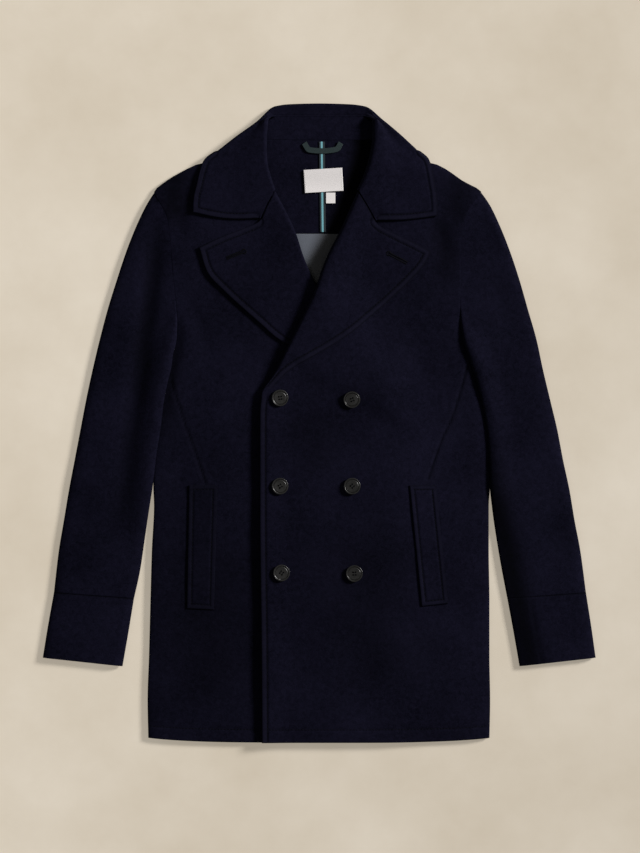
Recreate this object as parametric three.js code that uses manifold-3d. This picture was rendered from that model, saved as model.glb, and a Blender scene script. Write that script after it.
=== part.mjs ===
// A double-breasted pea coat laid face up and flat, buttoned, with its sleeves beside it.
// Millimetres: +X to the right as seen from above, +Y towards the collar, +Z up from the surface it lies on.
// "Left" and "right" are the viewer's. The right front laps over the left one.
import * as THREE from "three";
import { mergeVertices } from "three/addons/utils/BufferGeometryUtils.js";
import Module from "manifold-3d";

const wasm = await Module();
wasm.setup();

// Cloth thicknesses. A front, lapel and collar are two layers of heavy wool sewn together at their edges.
const SEAM_GAP = 0.3;
const LAYER_GAP = 1;
const BACK_WALL = 2.4;
const FRONT_WALL = 3;
const LAP_WALL = 3.2;
const LAPEL_WALL = 3;
const COLLAR_WALL = 3.2;
const SLEEVE_WALL = 2.8;
const LINING_WALL = 1;
const FACING_WALL = 1.2;
const WELT_WALL = 2;
const TAPE_WALL = 1;

// Heights of the layers over one another.
const FRONT_AIR = 3.3;
const COLLAR_LIFT = 3.5;
const AIR_LOST_UNDER_COLLAR = 1.5;
const LEFT_FRONT_LIFT = 3.9;
const LEFT_LAPEL_LIFT = 4.4;
const EDGE_LOFT = 4.5;
const EDGE_LOFT_REACH = 46;
const EDGE_LOFT_FADE = { fromY: 120, toY: 200 };
const STEP_OFF_LEFT_FRONT = { from: 2, to: 44 };
const STEP_OFF_LEFT_LAPEL = { from: 4, to: 36 };
const SIDE_ROUND = 26;
const SHOULDER_ROUND = 22;
const SLEEVE_HEIGHT = 9.5;
const ARMHOLE_HEIGHT = 9;
const SLEEVE_ROUND = 14;
const TURNED_ROUND = 30;
const TURNED_FROM_Y = -60;
const TURNED_BY_Y = -160;
const ROLL_RADIUS = 5;
const PRESSED_ROLL_RADIUS = 3.5;

// Outline of the body from the hem up: side seam, armhole, then shoulder seam to the neck.
const BODY_ROWS = [
  { y: -440, left: -239, right: 238 },
  { y: -388, left: -240, right: 239 },
  { y: -325, left: -238, right: 238 },
  { y: -248, left: -236, right: 238 },
  { y: -178, left: -234, right: 237 },
  { y: -115, left: -231, right: 237 },
  { y: -87, left: -232, right: 239 },
  { y: -32, left: -230, right: 240 },
  { y: 10, left: -225, right: 235 },
  { y: 43, left: -220, right: 228 },
  { y: 87, left: -211, right: 216 },
  { y: 104, left: -203, right: 207 },
  { y: 118, left: -200, right: 202 },
  { y: 137, left: -199, right: 199 },
  { y: 167, left: -201, right: 198 },
  { y: 207, left: -205, right: 198 },
  { y: 246, left: -208, right: 199 },
  { y: 287, left: -213, right: 205 },
  { y: 309, left: -224, right: 217 },
  { y: 322, left: -231, right: 227 },
  { y: 339, left: -213, right: 200 },
  { y: 353, left: -189, right: 180 },
  { y: 361, left: -172, right: 165 },
  { y: 366, left: -150, right: 144 },
  { y: 384, left: -121, right: 116 },
  { y: 407, left: -86, right: 86 },
];
const UNDERARM_Y = 137;
const SHOULDER_TIP_Y = 322;
const NECK_POINT_Y = 407;
const HEM_Y = -440;
const HEM_DROP = 6.6;

// Fold of each lapel and, below the break, the edge of each front. The left one is hidden below y = 211.
const OPENING_ROWS = [
  { y: -440, left: 82, right: -80 },
  { y: -304, left: 82, right: -81 },
  { y: -126, left: 82, right: -83 },
  { y: 10, left: 82, right: -83 },
  { y: 41, left: 81, right: -80 },
  { y: 71, left: 64, right: -62 },
  { y: 102, left: 46, right: -46 },
  { y: 144, left: 23, right: -25 },
  { y: 183, left: 2, right: -7 },
  { y: 211, left: -13, right: 2 },
  { y: 235, left: -23, right: 12 },
  { y: 266, left: -33, right: 28 },
  { y: 297, left: -47, right: 42 },
  { y: 323, left: -61, right: 53 },
  { y: 344, left: -67, right: 61 },
  { y: 365, left: -72, right: 68 },
  { y: 389, left: -73, right: 73 },
  { y: 414, left: -72, right: 74 },
  { y: 428, left: -71, right: 73 },
];
const BREAK_Y = 41;
const ROLL_CLEARANCE = 2;
const GORGE_TUCK = 5;
const GORGE_Y = 323;
const PRESSED_FROM_Y = 225;

// Each lapel: its upper edge from the fold along the gorge seam to the peak, and its outer edge to the break.
const LAPEL_LEFT = {
  upper: [
    { x: -61, y: 320.5 },
    { x: -71.5, y: 302 },
    { x: -81, y: 282 },
    { x: -107, y: 272 },
    { x: -137, y: 260 },
    { x: -168, y: 245 },
  ],
  outer: [
    { x: -168, y: 245 },
    { x: -157, y: 211 },
    { x: -132, y: 183 },
    { x: -107, y: 160 },
    { x: -83, y: 139 },
    { x: -59, y: 118 },
    { x: -17, y: 94 },
    { x: 35, y: 66 },
    { x: 71, y: 43 },
  ],
};
const LAPEL_RIGHT = {
  upper: [
    { x: 53, y: 320 },
    { x: 67, y: 297.5 },
    { x: 78, y: 279 },
    { x: 109, y: 263 },
    { x: 136, y: 250 },
    { x: 156, y: 239 },
  ],
  outer: [
    { x: 156, y: 239 },
    { x: 145, y: 219 },
    { x: 127, y: 199 },
    { x: 102, y: 175 },
    { x: 75, y: 151 },
    { x: 45, y: 126 },
    { x: 18, y: 108 },
    { x: -13, y: 90 },
    { x: -34, y: 78 },
    { x: -48, y: 67 },
    { x: -70, y: 43 },
  ],
};

// The collar from its left end round the neck to its right end. A section runs from the fold or seam at the
// neck (ix, iy) out to the edge or the outermost line (ox, oy), where it wraps under by "turn" of half a turn
// and runs back for "under". "fold" is 1 where the neck edge rolls over and 0 where it meets a seam.
const COLLAR_ROWS = [
  { ix: -82, iy: 285.5, ox: -177, oy: 297, fold: 0, turn: 0, under: 4, bow: 7 },
  { ix: -73, iy: 305, ox: -177, oy: 305, fold: 0, turn: 0, under: 4, bow: 2 },
  { ix: -63.5, iy: 323, ox: -175.5, oy: 316, fold: 0, turn: 0, under: 4, bow: 0 },
  { ix: -61, iy: 325.5, ox: -175, oy: 319, fold: 1, turn: 0, under: 4, bow: 0 },
  { ix: -67, iy: 344, ox: -171, oy: 335, fold: 1, turn: 0, under: 4, bow: 0 },
  { ix: -72, iy: 365, ox: -167, oy: 352, fold: 1, turn: 0, under: 4, bow: 0 },
  { ix: -73, iy: 382, ox: -162, oy: 369, fold: 1, turn: 0.1, under: 4, bow: 0 },
  { ix: -73, iy: 398, ox: -146, oy: 384, fold: 1, turn: 0.8, under: 1.2, bow: 0 },
  { ix: -72, iy: 412, ox: -121, oy: 403, fold: 1, turn: 1, under: 22, bow: 0 },
  { ix: -71, iy: 423, ox: -92, oy: 424, fold: 1, turn: 1, under: 42, bow: 0 },
  { ix: -62, iy: 428, ox: -62, oy: 443, fold: 0, turn: 1, under: 60, bow: 0 },
  { ix: -40, iy: 428, ox: -40, oy: 446, fold: 0, turn: 1, under: 66, bow: 0 },
  { ix: 0, iy: 428, ox: 0, oy: 447, fold: 0, turn: 1, under: 68, bow: 0 },
  { ix: 40, iy: 428, ox: 40, oy: 446, fold: 0, turn: 1, under: 66, bow: 0 },
  { ix: 60, iy: 428, ox: 64, oy: 443, fold: 0, turn: 1, under: 60, bow: 0 },
  { ix: 73, iy: 423, ox: 92, oy: 425, fold: 1, turn: 1, under: 43, bow: 0 },
  { ix: 74, iy: 412, ox: 118, oy: 403, fold: 1, turn: 1, under: 22, bow: 0 },
  { ix: 74, iy: 398, ox: 139, oy: 384, fold: 1, turn: 0.8, under: 1.2, bow: 0 },
  { ix: 72, iy: 382, ox: 155, oy: 369, fold: 1, turn: 0.1, under: 4, bow: 0 },
  { ix: 68, iy: 365, ox: 158, oy: 353, fold: 1, turn: 0, under: 4, bow: 0 },
  { ix: 61, iy: 344, ox: 161, oy: 336, fold: 1, turn: 0, under: 4, bow: 0 },
  { ix: 53, iy: 325.5, ox: 164, oy: 319, fold: 1, turn: 0, under: 4, bow: 0 },
  { ix: 56, iy: 323, ox: 164, oy: 316, fold: 0, turn: 0, under: 4, bow: 0 },
  { ix: 69.5, iy: 300.5, ox: 165, oy: 304, fold: 0, turn: 0, under: 4, bow: 0 },
  { ix: 79.5, iy: 282.5, ox: 165, oy: 292, fold: 0, turn: 0, under: 4, bow: -3 },
];
const STAND_TOP_Z = 7.6;
const STAND_TOP_Y = 428;
const NECK_ROLL_LOW_Z = 8.2;
const NECK_ROLL_FROM_Y = 375;
const STAND_HALF_WIDTH = 64;
const STAND_CORNER = 5;

// The back neck seam: flat across the nape, rising a little towards the shoulders.
const NAPE_Y = 395;
const NAPE_RISE = 12;
const NAPE_HALF_WIDTH = 88;

// Sleeve sections from the armhole to the cuff seam. "lift" is how far the inner fold rides up over the body.
const SLEEVE_ROWS = [
  { oxL: -231, oxR: 227, oy: 322, ixL: -200, ixR: 200, iy: 137, lift: 0, hole: 1 },
  { oxL: -242, oxR: 239, oy: 304, ixL: -200, ixR: 200, iy: 131, lift: 2, hole: 0.75 },
  { oxL: -255, oxR: 252, oy: 277, ixL: -200, ixR: 201, iy: 123, lift: 4, hole: 0.5 },
  { oxL: -269, oxR: 266, oy: 242, ixL: -201, ixR: 203, iy: 112, lift: 6.5, hole: 0.3 },
  { oxL: -283, oxR: 280, oy: 200, ixL: -203, ixR: 206, iy: 98, lift: 8.5, hole: 0.12 },
  { oxL: -296, oxR: 292, oy: 158, ixL: -206, ixR: 213, iy: 78, lift: 8.5, hole: 0 },
  { oxL: -307, oxR: 304, oy: 116, ixL: -212, ixR: 221, iy: 53, lift: 8.5, hole: 0 },
  { oxL: -317, oxR: 313, oy: 74, ixL: -217, ixR: 228, iy: 26, lift: 8, hole: 0 },
  { oxL: -326, oxR: 323, oy: 32, ixL: -221, ixR: 234, iy: -7, lift: 7.5, hole: 0 },
  { oxL: -334, oxR: 333, oy: -10, ixL: -227, ixR: 237, iy: -45, lift: 7.5, hole: 0 },
  { oxL: -342, oxR: 341, oy: -52, ixL: -232, ixR: 238, iy: -85, lift: 7, hole: 0 },
  { oxL: -350, oxR: 350, oy: -94, ixL: -238, ixR: 242, iy: -123, lift: 3, hole: 0 },
  { oxL: -357, oxR: 357, oy: -136, ixL: -244, ixR: 248, iy: -163, lift: 0, hole: 0 },
  { oxL: -364, oxR: 365, oy: -178, ixL: -250, ixR: 255, iy: -204, lift: 0, hole: 0 },
  { oxL: -371, oxR: 373, oy: -233, ixL: -259, ixR: 263, iy: -248, lift: 0, hole: 0 },
];
const CUFF_ROWS = [
  { oxL: -371, oxR: 373, oy: -233.4, ixL: -259, ixR: 263, iy: -248.4, lift: 0, hole: 0 },
  { oxL: -379, oxR: 380, oy: -282, ixL: -267, ixR: 272, iy: -294, lift: 0, hole: 0 },
  { oxL: -386.5, oxR: 386.5, oy: -328, ixL: -275, ixR: 280, iy: -340, lift: 0, hole: 0 },
];
const LIFT_FLAT = 8;
const LIFT_REACH = 42;
const LIFT_ON_TOP = 0.75;
const RING_STATIONS = [0, 0.02, 0.06, 0.12, 0.25, 0.45, 0.65, 0.8, 0.9, 0.96, 1];

// The long soft trough down each sleeve: its distance from the outer edge as a share of the width.
const SLEEVE_TROUGH = { place: 0.2, width: 0.09, depth: 1.6, fromY: 270, toY: -160 };

// Welts of the side pockets, corner by corner: top outer, top inner, bottom inner, bottom outer.
const WELT_LEFT = [
  { x: -182, y: -87 },
  { x: -142, y: -87 },
  { x: -147, y: -261 },
  { x: -185, y: -259 },
];
const WELT_RIGHT = [
  { x: 126, y: -87 },
  { x: 163, y: -87 },
  { x: 180, y: -252 },
  { x: 143, y: -256 },
];

// Buttons: two columns of three.
const BUTTONS = [
  { name: "button_left_top", x: -55, y: 35 },
  { name: "button_left_middle", x: -55, y: -88 },
  { name: "button_left_bottom", x: -53, y: -209 },
  { name: "button_right_top", x: 46, y: 33 },
  { name: "button_right_middle", x: 46, y: -88 },
  { name: "button_right_bottom", x: 49, y: -210 },
];
const BUTTON = {
  radius: 11.5,
  height: 4,
  rim: 2.2,
  edge: 0.9,
  dish: 1.3,
  holeRadius: 1.1,
  holeSpacing: 2.3,
  holeSides: 6,
  sides: 20,
  clearance: 0.5,
};

// What shows inside the neck.
const FACING_GAP = 0.5;
const FACING = { bottomY: 265, edgeTuck: 9, neckTuck: 3 };
const LINING = { topY: 264.6, bottomY: 196, left: -52, right: 52 };
const CENTRE_TAPE = { x: 4.5, lean: 1.5, width: 8, topY: 393, bottomY: 267 };
const LOOP = {
  width: 7.5,
  route: [
    { x: -18, y: 390 },
    { x: -16, y: 384 },
    { x: -9, y: 380 },
    { x: 5, y: 379 },
    { x: 19, y: 382 },
    { x: 30, y: 390 },
  ],
};
const NECK_LABEL = { x: 6, y: 339, width: 54, height: 32, turn: 0.06 };
const SIZE_LABEL = { x: 16, y: 314.5, width: 13, height: 15, turn: 0 };

const materials = {
  wool: new THREE.MeshStandardMaterial({ color: 0x0d0c17, roughness: 0.95, metalness: 0 }),
  satin: new THREE.MeshStandardMaterial({ color: 0x8c9098, roughness: 0.35, metalness: 0 }),
  tape: new THREE.MeshStandardMaterial({ color: 0x6f9499, roughness: 0.8, metalness: 0 }),
  loop: new THREE.MeshStandardMaterial({ color: 0x46595a, roughness: 0.8, metalness: 0 }),
  label: new THREE.MeshStandardMaterial({ color: 0xe6e2e0, roughness: 0.7, metalness: 0 }),
  horn: new THREE.MeshStandardMaterial({ color: 0x2b2724, roughness: 0.35, metalness: 0 }),
};

const lerp = THREE.MathUtils.lerp;
const ease = (value, from, to) => THREE.MathUtils.smoothstep(value, from, to);

// A quarter-round rise from 0 to 1 over "reach".
function rounded(distance, reach) {
  const share = THREE.MathUtils.clamp(distance / reach, 0, 1);
  return Math.sqrt(1 - (1 - share) ** 2);
}

// Reads a column of a table whose rows rise or fall in the "along" column, in a straight line between rows.
function readRow(rows, column, value, along = "y") {
  const rising = rows[rows.length - 1][along] > rows[0][along];
  let index = rows.findIndex((row) => (rising ? row[along] >= value : row[along] <= value));
  if (index < 0) index = rows.length - 1;
  const upper = rows[Math.max(index, 1)];
  const lower = rows[Math.max(index, 1) - 1];
  const share = THREE.MathUtils.clamp((value - lower[along]) / (upper[along] - lower[along]), 0, 1);
  return lerp(lower[column], upper[column], share);
}

// Height of the shoulder seam at a distance from the middle.
function shoulderY(x) {
  const side = x < 0 ? "left" : "right";
  const reach = Math.abs(x);
  const shoulder = BODY_ROWS.filter((row) => row.y >= SHOULDER_TIP_Y);
  const points = shoulder.map((row) => ({ reach: Math.abs(row[side]), y: row.y }));
  if (reach < points[points.length - 1].reach) {
    return NECK_POINT_Y + (points[points.length - 1].reach - reach) / 2;
  }
  return readRow(points, "y", reach, "reach");
}

// 1 where the body lies on the fall of the collar, 0 where it lies on the floor.
function collarCover(x, y) {
  return ease(y, 328, 364) * (1 - ease(Math.abs(x), 150, 200));
}

function backTop(x, y) {
  return BACK_WALL + COLLAR_LIFT * collarCover(x, y);
}

// 0 at the side and shoulder seams, where front and back meet, and 1 inside them and along the armhole.
function fullness(x, y) {
  const fromSide = Math.min(x - readRow(BODY_ROWS, "left", y), readRow(BODY_ROWS, "right", y) - x);
  const side = lerp(rounded(fromSide, SIDE_ROUND), 1, ease(y, UNDERARM_Y - 12, UNDERARM_Y + 30));
  const fromShoulder = (shoulderY(x) - y) * 0.85;
  return side * rounded(fromShoulder, SHOULDER_ROUND);
}

function frontUnder(x, y) {
  const air = FRONT_AIR - AIR_LOST_UNDER_COLLAR * collarCover(x, y);
  return backTop(x, y) + SEAM_GAP + air * fullness(x, y);
}

function leftFrontTop(x, y) {
  return frontUnder(x, y) + FRONT_WALL;
}

// Distance below the straight lower end of the left lapel's outer edge, which the right front hides.
function belowLeftLapel(x, y) {
  const edgeX = -59;
  const edgeY = 118;
  const down = { x: -0.477, y: -0.881 };
  return (x - edgeX) * down.x + (y - edgeY) * down.y;
}

// The right front rides over the left front, over the hidden end of the left lapel, and stands off at its edge.
function rightFrontUnder(x, y) {
  const pastLeftEdge = x - readRow(OPENING_ROWS, "left", y);
  const onLeftFront = 1 - ease(pastLeftEdge, STEP_OFF_LEFT_FRONT.from, STEP_OFF_LEFT_FRONT.to);
  const below = belowLeftLapel(x, y);
  const onLeftLapel = (1 - ease(below, STEP_OFF_LEFT_LAPEL.from, STEP_OFF_LEFT_LAPEL.to)) * onLeftFront;
  const fromEdge = x - readRow(OPENING_ROWS, "right", y);
  const faded = 1 - ease(y, EDGE_LOFT_FADE.fromY, EDGE_LOFT_FADE.toY);
  const loft = EDGE_LOFT * (1 - ease(fromEdge, 0, EDGE_LOFT_REACH)) * onLeftFront * faded;
  const extra = Math.max(LEFT_LAPEL_LIFT * onLeftLapel, loft);
  return frontUnder(x, y) + LEFT_FRONT_LIFT * onLeftFront + extra;
}

function rightFrontTop(x, y) {
  return rightFrontUnder(x, y) + LAP_WALL;
}

// Radius of the lapel's roll: soft where it shows, pressed flat where the left lapel lies under the right front.
function rollRadius(side, y) {
  const pressed = side === "left" ? 1 - ease(y, PRESSED_FROM_Y, GORGE_Y - 20) : 1 - ease(y, 50, 120);
  return lerp(ROLL_RADIUS, PRESSED_ROLL_RADIUS, pressed);
}

// Turns a grid of outer points and the grid of points under it into one closed wall.
function wallGeometry(outer, inner, closedRing = false) {
  const rows = outer.length;
  const columns = outer[0].length;
  const points = [...outer.flat(), ...inner.flat()];
  const at = (layer, row, column) => layer * rows * columns + row * columns + (column % columns);
  const faces = [];
  const quad = (a, b, c, d) => faces.push(a, b, c, a, c, d);
  const lastColumn = closedRing ? columns : columns - 1;
  for (let row = 0; row < rows - 1; row++) {
    for (let column = 0; column < lastColumn; column++) {
      const next = column + 1;
      quad(at(0, row, column), at(0, row, next), at(0, row + 1, next), at(0, row + 1, column));
      quad(at(1, row, column), at(1, row + 1, column), at(1, row + 1, next), at(1, row, next));
    }
  }
  for (let column = 0; column < lastColumn; column++) {
    quad(at(0, 0, column + 1), at(0, 0, column), at(1, 0, column), at(1, 0, column + 1));
    const end = rows - 1;
    quad(at(0, end, column), at(0, end, column + 1), at(1, end, column + 1), at(1, end, column));
  }
  for (let row = 0; row < rows - 1 && !closedRing; row++) {
    quad(at(0, row, 0), at(0, row + 1, 0), at(1, row + 1, 0), at(1, row, 0));
    const end = columns - 1;
    quad(at(0, row + 1, end), at(0, row, end), at(1, row, end), at(1, row + 1, end));
  }
  const geometry = new THREE.BufferGeometry();
  const numbers = points.flatMap((p) => [p.x, p.y, p.z]);
  geometry.setAttribute("position", new THREE.Float32BufferAttribute(numbers, 3));
  geometry.setIndex(signedVolume(points, faces) < 0 ? turnedRound(faces) : faces);
  return geometry;
}

function signedVolume(points, faces) {
  let sum = 0;
  for (let i = 0; i < faces.length; i += 3) {
    const [a, b, c] = [points[faces[i]], points[faces[i + 1]], points[faces[i + 2]]];
    sum += a.dot(b.clone().cross(c));
  }
  return sum / 6;
}

function turnedRound(faces) {
  const turned = [];
  for (let i = 0; i < faces.length; i += 3) turned.push(faces[i], faces[i + 2], faces[i + 1]);
  return turned;
}

const group = new THREE.Group();

function addPiece(name, geometry, material) {
  const mesh = new THREE.Mesh(geometry, material);
  mesh.name = name;
  group.add(mesh);
  return mesh;
}

function shares(count) {
  return Array.from({ length: count + 1 }, (_, index) => index / count);
}

// A sheet whose upper face is at height top(x, y), with the wall measured straight down.
function layFlat(name, material, place, across, along, top, wall) {
  const outer = along.map((v) => across.map((u) => {
    const spot = place(u, v);
    return new THREE.Vector3(spot.x, spot.y, top(spot.x, spot.y));
  }));
  const inner = outer.map((row) => row.map((p) => new THREE.Vector3(p.x, p.y, p.z - wall)));
  return addPiece(name, wallGeometry(outer, inner), material);
}

// Moves each point of a curved grid inwards along its normal. "sign" picks the side.
function offsetGrid(outer, wall, sign) {
  const last = outer.length - 1;
  const end = outer[0].length - 1;
  return outer.map((row, i) => row.map((p, j) => {
    const down = outer[Math.min(i + 1, last)][j].clone().sub(outer[Math.max(i - 1, 0)][j]);
    const along = row[Math.min(j + 1, end)].clone().sub(row[Math.max(j - 1, 0)]);
    const normal = down.cross(along).normalize();
    return p.clone().addScaledVector(normal, sign * wall);
  }));
}

// The back: from the hem to the neck seam, its nape cut lower than the neck points.
function napeY(x) {
  return NAPE_Y + NAPE_RISE * Math.min(1, Math.abs(x) / NAPE_HALF_WIDTH) ** 3;
}

// Row heights shared by the back and the fronts, every table row being one.
const bodyHeights = BODY_ROWS.map((row) => row.y);

function hemmed(x, y) {
  const share = Math.min(1, Math.abs(x) / 240);
  return y - HEM_DROP * (1 - share ** 4) * (1 - ease(y, HEM_Y, HEM_Y + 60));
}

function backPlace(u, y) {
  const x = lerp(readRow(BODY_ROWS, "left", y), readRow(BODY_ROWS, "right", y), u);
  const cut = (NECK_POINT_Y - napeY(x)) * ease(y, 330, NECK_POINT_Y);
  return { x, y: hemmed(x, y) - cut };
}

layFlat("back", materials.wool, backPlace, shares(16), bodyHeights, backTop, BACK_WALL);

// A front runs from its side seam to its fold or edge. Above the break its edge is tucked inside the roll.
const frontHeights = bodyHeights.flatMap((y, index) => {
  const next = bodyHeights[index + 1];
  return next === undefined || next - y < 32 ? [y] : [y, (y + next) / 2];
});

function frontPlace(side) {
  const sign = side === "left" ? -1 : 1;
  return (u, y) => {
    const notch = GORGE_TUCK * (1 - ease(Math.abs(y - GORGE_Y + 6), 12, 30));
    const tuck = (rollRadius(side, y) * 1.25 + ROLL_CLEARANCE + notch) * ease(y, 26, 41);
    const seam = readRow(BODY_ROWS, side, y);
    const edge = readRow(OPENING_ROWS, side, y) + sign * tuck;
    const x = lerp(seam, edge, u);
    return { x, y: hemmed(x, y) };
  };
}

const acrossLeft = [0, 0.02, 0.06, 0.12, 0.3, 0.5, 0.65, 0.8, 0.9, 1];
const acrossRight = [0, 0.02, 0.06, 0.12, 0.22, 0.3, 0.36, 0.42, 0.48, 0.54, 0.62, 0.7, 0.78, 0.86]
  .concat([0.92, 0.97, 1]);
layFlat("front_left", materials.wool, frontPlace("left"), acrossLeft, frontHeights, leftFrontTop, FRONT_WALL);
layFlat("front_right", materials.wool, frontPlace("right"), acrossRight, frontHeights, rightFrontTop, LAP_WALL);

// A smooth flat curve through the points of a table, read by its share of the length.
function flatCurve(rows) {
  const points = rows.map((row) => new THREE.Vector3(row.x, row.y, 0));
  const curve = new THREE.CatmullRomCurve3(points, false, "centripetal");
  return (share) => curve.getPointAt(share);
}

// A lapel: its roll turns from the front's cut edge round the fold, and the leaf lies back over the front.
function addLapel(name, side, table, frontUnderneath, frontWall) {
  const inward = side === "left" ? -1 : 1;
  const foldRows = OPENING_ROWS.filter((row) => row.y >= BREAK_Y && row.y <= GORGE_Y).reverse();
  const fold = flatCurve(foldRows.map((row) => ({ x: row[side], y: Math.max(row.y, BREAK_Y + 4) })));
  const upper = flatCurve(table.upper);
  const outerEdge = flatCurve(table.outer);
  const end = { fold: fold(1), edge: outerEdge(1) };
  const along = shares(16);
  const arc = [-90, -45, 0, 45].map((degrees) => THREE.MathUtils.degToRad(degrees));
  const leaf = [0, 0.06, 0.16, 0.3, 0.45, 0.6, 0.75, 0.88, 1];
  const outer = along.map((u) => {
    const foldPoint = fold(u);
    const ahead = fold(Math.min(1, u + 0.01)).sub(fold(Math.max(0, u - 0.01))).normalize();
    const across = new THREE.Vector3(inward * Math.abs(ahead.y), inward * ahead.x * Math.sign(-ahead.y), 0);
    const alongGorge = upper(0.04).sub(upper(0)).normalize();
    across.lerp(alongGorge, 1 - ease(u, 0, 0.12)).normalize();
    const radius = rollRadius(side, foldPoint.y);
    const low = frontUnderneath(foldPoint.x + inward * radius, foldPoint.y);
    const rolled = arc.map((angle) => {
      const p = foldPoint.clone().addScaledVector(across, radius * (1 - Math.cos(angle)));
      p.z = low + radius + radius * Math.sin(angle);
      return p;
    });
    const laid = leaf.map((v) => {
      const inset = radius * (1 - v);
      const spot = foldPoint.clone().addScaledVector(across, inset).multiplyScalar(1 - v);
      spot.addScaledVector(outerEdge(u), v);
      spot.addScaledVector(upper(v), 1 - u).addScaledVector(end.fold.clone().lerp(end.edge, v), u);
      spot.addScaledVector(fold(0), -(1 - u) * (1 - v)).addScaledVector(end.fold, -u * (1 - v));
      spot.addScaledVector(outerEdge(0), -(1 - u) * v).addScaledVector(end.edge, -u * v);
      const distance = spot.distanceTo(foldPoint);
      const spare = 2 * radius - frontWall - LAPEL_WALL - LAYER_GAP;
      const loft = spare * (1 - ease(distance, radius, radius + 55));
      spot.z = frontUnderneath(spot.x, spot.y) + frontWall + LAYER_GAP + LAPEL_WALL + loft;
      return spot;
    });
    return [...rolled, ...laid];
  });
  return addPiece(name, wallGeometry(outer, offsetGrid(outer, LAPEL_WALL, -inward)), materials.wool);
}

addLapel("lapel_left", "left", LAPEL_LEFT, frontUnder, FRONT_WALL);
addLapel("lapel_right", "right", LAPEL_RIGHT, rightFrontUnder, LAP_WALL);

// The collar: leaf, wrap round the shoulders, and fall under the back, as one piece of cloth.
function collarSection(row) {
  const neck = new THREE.Vector3(row.ix, row.iy, 0);
  const edge = new THREE.Vector3(row.ox, row.oy, 0);
  const outward = edge.clone().sub(neck).normalize();
  const frontTop = row.ix < 0 ? leftFrontTop : rightFrontTop;
  const under = row.ix < 0 ? frontUnder : rightFrontUnder;
  const strip = row.fold === 0 && row.turn === 1;
  const restTop = (x, y) => (strip ? STAND_TOP_Z : frontTop(x, y) + LAYER_GAP + COLLAR_WALL);
  const radius = ROLL_RADIUS;
  const low = Math.max(under(row.ix, row.iy), row.iy > NECK_ROLL_FROM_Y ? NECK_ROLL_LOW_Z : 0);
  const crest = row.fold ? low + 2 * radius : restTop(row.ix, row.iy);
  const bend = Math.PI * row.turn;
  const edgeTop = restTop(row.ox, row.oy);
  const bendRadius = edgeTop / 2;
  const reach = bendRadius * Math.sin(Math.min(bend, Math.PI / 2)) + (row.turn < 0.5 ? row.under : 0);
  const shoulder = edge.clone().addScaledVector(outward, -reach);
  const points = [];
  for (const degrees of [-90, -45, 0, 45]) {
    const angle = THREE.MathUtils.degToRad(degrees);
    const rolled = neck.clone().addScaledVector(outward, radius * (1 - Math.cos(angle)));
    rolled.z = low + radius + radius * Math.sin(angle);
    const flat = neck.clone().addScaledVector(outward, ((degrees + 90) / 180) * 1.6);
    flat.z = restTop(flat.x, flat.y);
    points.push(row.fold ? rolled : flat);
  }
  const start = neck.clone().addScaledVector(outward, row.fold ? radius : 1.8);
  for (const share of [0, 0.15, 0.32, 0.5, 0.68, 0.85, 1]) {
    const spot = start.clone().lerp(shoulder, share);
    const sideways = new THREE.Vector3(-outward.y, outward.x, 0);
    spot.addScaledVector(sideways, row.bow * Math.sin(Math.PI * share));
    const loft = (crest - restTop(row.ix, row.iy)) * (1 - ease(share, 0, 0.6));
    spot.z = restTop(spot.x, spot.y) + loft;
    points.push(spot);
  }
  const turns = [0.2, 0.4, 0.6, 0.8, 1];
  for (const share of turns) {
    const angle = bend * share;
    const spot = shoulder.clone();
    if (row.turn > 0.05) {
      spot.addScaledVector(outward, bendRadius * Math.sin(angle));
      spot.z = edgeTop - bendRadius * (1 - Math.cos(angle));
    } else {
      spot.addScaledVector(outward, (row.under / 2) * share);
      spot.z = edgeTop;
    }
    points.push(spot);
  }
  const last = points[points.length - 1];
  for (const share of [0.35, 0.7, 1]) {
    const spot = last.clone();
    if (row.turn === 1) spot.y -= row.under * share;
    else {
      const left = row.turn > 0.05 ? row.under : row.under / 2;
      spot.addScaledVector(outward, left * Math.cos(bend) * share);
      spot.z = last.z - left * Math.sin(bend) * share;
    }
    points.push(spot);
  }
  return points;
}

const collarOuter = COLLAR_ROWS.map(collarSection);
addPiece("collar", wallGeometry(collarOuter, offsetGrid(collarOuter, COLLAR_WALL, -1)), materials.wool);

// The stand of the collar, between the neck seam and the stitched line under the fold.
function standPlace(u, v) {
  const x = lerp(-STAND_HALF_WIDTH, STAND_HALF_WIDTH, u);
  const corner = STAND_CORNER * ease(Math.abs(x), STAND_HALF_WIDTH - 14, STAND_HALF_WIDTH);
  return { x, y: lerp(napeY(x) + SEAM_GAP, STAND_TOP_Y - SEAM_GAP - corner, v) };
}
layFlat("collar_stand", materials.wool, standPlace, shares(10), shares(2), () => STAND_TOP_Z, COLLAR_WALL);

// The facing of the back neck, the lining below it, and the tape down the middle.
function facingPlace(u, v) {
  const y = lerp(FACING.bottomY, NAPE_Y, v);
  const tuck = lerp(FACING.edgeTuck, FACING.neckTuck, ease(y, 350, 390));
  const left = readRow(OPENING_ROWS, "left", y) - tuck;
  const right = readRow(OPENING_ROWS, "right", y) + tuck;
  const x = lerp(left, right, u);
  return { x, y: y + (napeY(x) - NAPE_Y) * ease(v, 0.6, 1) };
}
const facingTop = (x, y) => backTop(x, y) + FACING_GAP + FACING_WALL;
layFlat("back_facing", materials.wool, facingPlace, shares(8), shares(8), facingTop, FACING_WALL);

function liningPlace(u, v) {
  return { x: lerp(LINING.left, LINING.right, u), y: lerp(LINING.bottomY, LINING.topY, v) };
}
const liningTop = (x, y) => backTop(x, y) + SEAM_GAP + LINING_WALL;
layFlat("lining", materials.satin, liningPlace, shares(5), shares(4), liningTop, LINING_WALL);

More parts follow.
